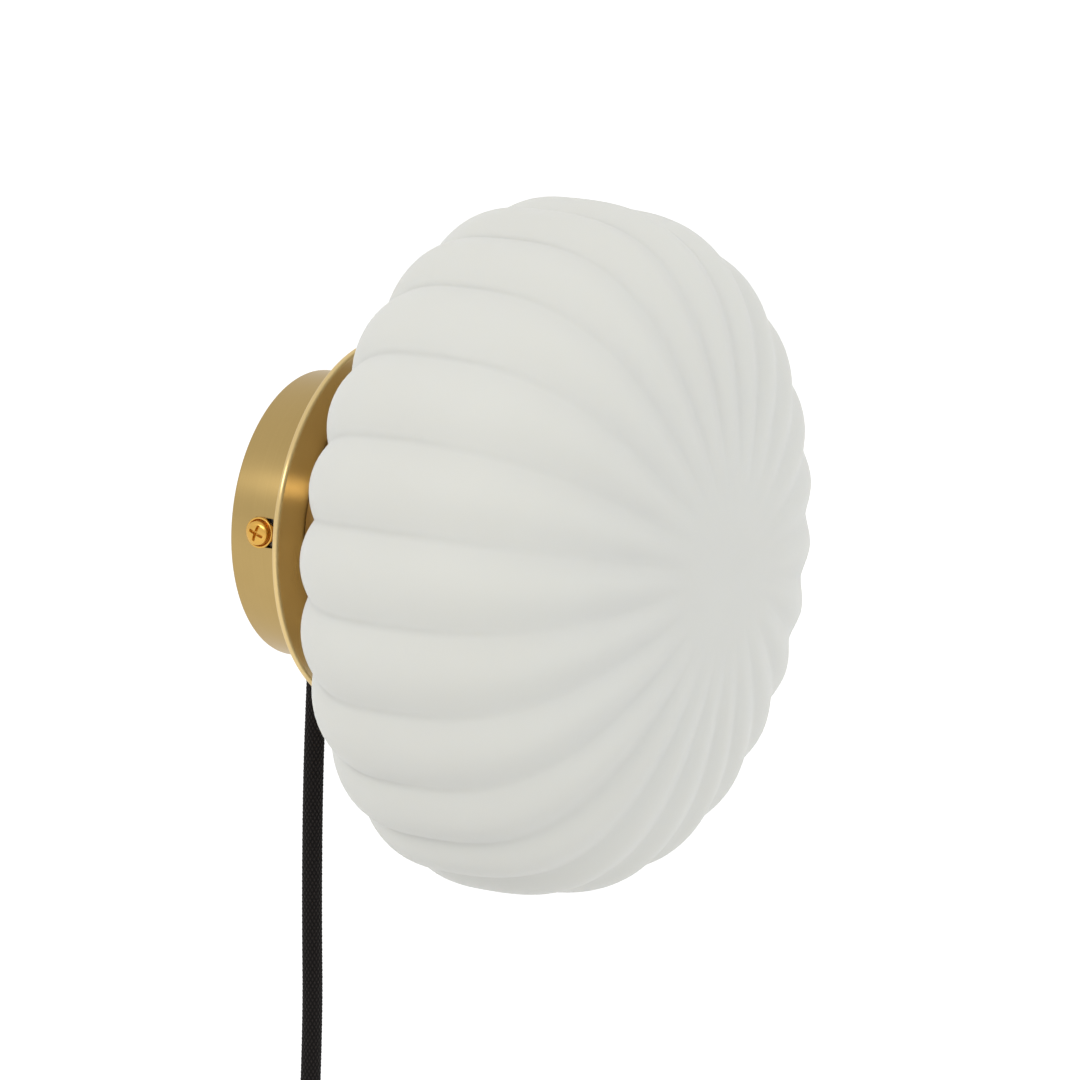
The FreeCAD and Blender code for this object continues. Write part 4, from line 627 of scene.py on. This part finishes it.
# The plate's rim is turned over to a bead. The bead runs round until it meets the sheet's face.
PLATE, SHEET, BEAD, PLATE_HOLE = 0.0545, 0.0012, 0.00095, 0.00525
bead_turn = np.linspace(-np.pi / 2, np.pi / 2 + math.acos((SHEET - BEAD) / BEAD) * 0.98, 16)
bead = np.stack([PLATE - BEAD + BEAD * np.cos(bead_turn),
                 plate_back + BEAD + BEAD * np.sin(bead_turn)], axis=-1)
plate_section = [[[PLATE_HOLE, plate_back]], bead, [[PLATE_HOLE, plate_back + SHEET]]]
plate = spun("brass_plate", np.vstack(plate_section), 320)
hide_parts("front_plate")

seat = plate_back + SHEET
RING_HOLE, RING, RING_INSIDE, RING_HEIGHT = 0.0260, 0.0393, 0.0373, 0.011
ring = spun("brass_ring", eased_profile([
    (RING_HOLE, seat, 0), (RING, seat, 0.0003), (RING, seat + RING_HEIGHT, 0.0006),
    (RING_INSIDE, seat + RING_HEIGHT, 0.0006), (RING_INSIDE, seat + SHEET, 0.0003),
    (RING_HOLE, seat + SHEET, 0.0002)]))
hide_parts("shade_ring")
# The plate and the ring take the lighter copy of the brass, which is painted light.
for piece, metal in ((cup, brass), (plate, brass_painted_brighter), (ring, brass_painted_brighter)):
    piece.data.materials.append(metal)
    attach(piece, "lamp")

# Side screws, brass plated M4 pan heads with a cross recess, each on a cup washer. They hold the
# front body to the cup at nine and at three o'clock.
SCREW_OFF, SHANK, RECESS, HEAD_POINTS = -0.0106, 0.008, 0.0013, 96


def pan_head(name, seat_at, direction, radius, height, turn):
    """A turned head with a cross sunk in it, on its shank: over a polar grid the height is
    h (1 - 0.3 (r / R)^4), less a cross whose arms are bands of |x| or |y| that fade at their ends."""
    head = np.r_[np.linspace(0.02, 0.86, 40), 0.93, 0.97, 0.99]
    rings_out = np.r_[head, 1.0, 1.0, 1.0, 0.565, 0.565] * radius
    around = np.linspace(0, 2 * np.pi, HEAD_POINTS, endpoint=False)
    x, y = rings_out[:, None] * np.cos(around), rings_out[:, None] * np.sin(around)
    top = height * (1 - 0.30 * (rings_out / radius) ** 4)
    top[-4:] = height * 0.30, 0.0, 0.0, -SHANK
    up = np.repeat(top[:, None], HEAD_POINTS, axis=1)
    on_head = slice(len(head))
    for one, other in ((x, y), (y, x)):
        band = 1 - eased(0.00028, np.abs(one), 0.00048)
        arm = band * (1 - eased(0.0017, np.abs(other), 0.0026))
        up[on_head] = np.minimum(up, top[:, None] - RECESS * arm)[on_head]
    c, s = math.cos(turn), math.sin(turn)
    grid = np.stack([direction * up + seat_at[0], seat_at[1] + x * c - y * s,
                     seat_at[2] + x * s + y * c], axis=-1)
    middle = [seat_at[0] + direction * (height - RECESS), seat_at[1], seat_at[2]]
    tip = [seat_at[0] - direction * SHANK, seat_at[1], seat_at[2]]
    return surface(name, grid, round_columns=True, ends=(middle, tip))


def washer_on_side(name, direction):
    """A cup washer: its section, with a raised and rounded rim, turned about the screw's axis."""
    section = eased_profile([(0.0022, 0, 0), (0.0045, 0, 0.0002), (0.0045, 0.00115, 0.00022),
                             (0.0040, 0.00115, 0.0002), (0.0036, 0.0007, 0.0002), (0.0022, 0.0007, 0)], 4)
    turn = np.linspace(0, 2 * np.pi, HEAD_POINTS, endpoint=False)
    grid = np.stack([np.repeat(direction * (CUP + section[:, 1:]), HEAD_POINTS, axis=1),
                     SCREW_OFF + section[:, :1] * np.cos(turn), section[:, :1] * np.sin(turn)],
                    axis=-1)
    return surface(name, grid, round_rows=True, round_columns=True)


plated = brushed_brass("plated_brass", (0.56, 0.31, 0.06), (0.76, 0.45, 0.11), 0.24, 5000.0)
heads = []
for side, direction, turn in (("left", -1, 0.35), ("right", 1, 0.9)):
    seat_at = [direction * (CUP + 0.0007), SCREW_OFF, 0]
    heads.append(pan_head(f"screw_head_{side}", seat_at, direction, 0.00345, 0.0024, turn))
    heads.append(washer_on_side(f"washer_{side}", direction))
for piece in heads:
    piece.data.materials.append(plated)
    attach(piece, "lamp")
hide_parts("side_screws")
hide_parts("side_washers")

# Inside parts: the steel collar, tube, bracket and screws are zinc plated, the lampholder is unglazed
# porcelain, the clamp and the levers are nylon. The bulb has a plastic base and a frosted cover.
zinc = speckled("zinc_plate", (0.36, 0.36, 0.35), (0.55, 0.55, 0.53), 0.32, 900.0, metallic=1.0)
dress(zinc, "collar_nuts", "ring_screws", "nipple", "nipple_nuts", "holder_screws", "clamp_screws")
dress(nickel, "bulb_pins")
nylon = speckled("nylon", (0.62, 0.62, 0.60), (0.74, 0.74, 0.71), 0.45, 1000.0)
dress(nylon, "terminal_levers")
dress(speckled("core_insulation", (0.10, 0.045, 0.02), (0.16, 0.075, 0.035), 0.45, 900.0), "cord_cores")
dress(speckled("lead_insulation", (0.60, 0.58, 0.53), (0.72, 0.70, 0.65), 0.6, 900.0), "holder_leads")
porcelain = speckled("porcelain", (0.62, 0.60, 0.55), (0.74, 0.72, 0.68), 0.5, 800.0)
base_plastic = speckled("lamp_plastic", (0.70, 0.70, 0.68), (0.80, 0.80, 0.78), 0.4, 1200.0)
frost = speckled("lamp_frost", (0.78, 0.77, 0.72), (0.88, 0.87, 0.82), 0.5, 1500.0)
terminal_grey = speckled("grey_plastic", (0.20, 0.21, 0.215), (0.28, 0.29, 0.295), 0.45, 1000.0)
for name, width, body, slot, material in (
        ("inner_collar", 0.0002, "lamp", "zinc_steel", zinc),
        ("holder_bracket", 0.0002, "lamp", "zinc_steel", zinc),
        ("lampholder", 0.0003, "lamp", "porcelain", porcelain),
        ("terminal_block", 0.0003, "lamp", "grey_plastic", terminal_grey),
        ("cord_clamp", 0.0003, "lamp", "white_nylon", nylon),
        ("cord_bush", 0.0003, "lamp", "black_rubber", rubber),
        ("bulb_base", 0.0003, "bulb", "lamp_plastic", base_plastic),
        ("bulb_cover", 0.0002, "bulb", "lamp_frost", frost)):
    eased_copy(name, width, body, material)

# Studio: a pale floor below the plug, a large soft lamp to the left of the lamp, a weaker one in
# front of it and an even white surround.
FLOOR_DOWN, FLOOR_OUT = -0.46, 30
floor_mesh = bpy.data.meshes.new("floor")
floor_mesh.from_pydata([(x * FLOOR_OUT, y * FLOOR_OUT, FLOOR_DOWN)
                        for x, y in ((-1, -1), (1, -1), (1, 1), (-1, 1))], [], [(0, 1, 2, 3)])
floor = bpy.data.objects.new("floor", floor_mesh)
bpy.context.scene.collection.objects.link(floor)


def seen_directly(material):
    """1 for rays from the camera, in reflections and through glass, and 0 for light on the object"""
    path = node(material, "LightPath")
    return math_node(material, "MAXIMUM", path.outputs["Is Camera Ray"],
                     math_node(material, "MAXIMUM", path.outputs["Is Glossy Ray"],
                               path.outputs["Is Transmission Ray"]))


pale, shader = finish("pale_floor", (0.80, 0.80, 0.80), 0.9)
seen = seen_directly(pale)
glow = node(pale, "Emission", {"Color": (1, 1, 1, 1), "Strength": 0.45})
both = node(pale, "AddShader", {0: shader.outputs[0], 1: glow.outputs[0]})
mixed = node(pale, "MixShader", {0: seen, 1: shader.outputs[0], 2: both.outputs[0]})
pale.node_tree.links.new(mixed.outputs[0], pale.node_tree.nodes["Material Output"].inputs[0])
floor.data.materials.append(pale)

world = bpy.data.worlds.new("studio")
bpy.context.scene.world = world
world.use_nodes = True
surround = world.node_tree.nodes["Background"]
surround.inputs[0].default_value = (1, 1, 1, 1)
seen = seen_directly(world)
strength = node(world, "MapRange", {0: seen, 1: 0.0, 2: 1.0, 3: 0.80, 4: 1.0})
world.node_tree.links.new(strength.outputs[0], surround.inputs[1])


def soft_lamp(name, place, aim, size, power, colour):
    """A square area lamp that points from its place to its aim."""
    lamp = bpy.data.objects.new(name, bpy.data.lights.new(name, "AREA"))
    lamp.data.shape = "SQUARE"
    lamp.data.size = size
    lamp.data.energy = power
    lamp.data.color = colour
    bpy.context.scene.collection.objects.link(lamp)
    way = np.subtract(place, aim)
    way /= np.linalg.norm(way)
    side = np.cross([0, 0, 1], way)
    side /= np.linalg.norm(side)
    turning = np.eye(4)
    for column, vector in enumerate((side, np.cross(way, side), way, place)):
        turning[:3, column] = vector
    lamp.matrix_world = Matrix(turning.tolist())


soft_lamp("key", (-1.95, -0.10, 1.0), (0, -0.05, 0), 0.4, 8, (1.0, 0.98, 0.95))
soft_lamp("fill", (0.3, -2.1, 0.4), (0, -0.08, 0), 1.6, 4.5, (0.97, 1.0, 0.99))

bpy.context.scene.view_settings.view_transform = "Standard"
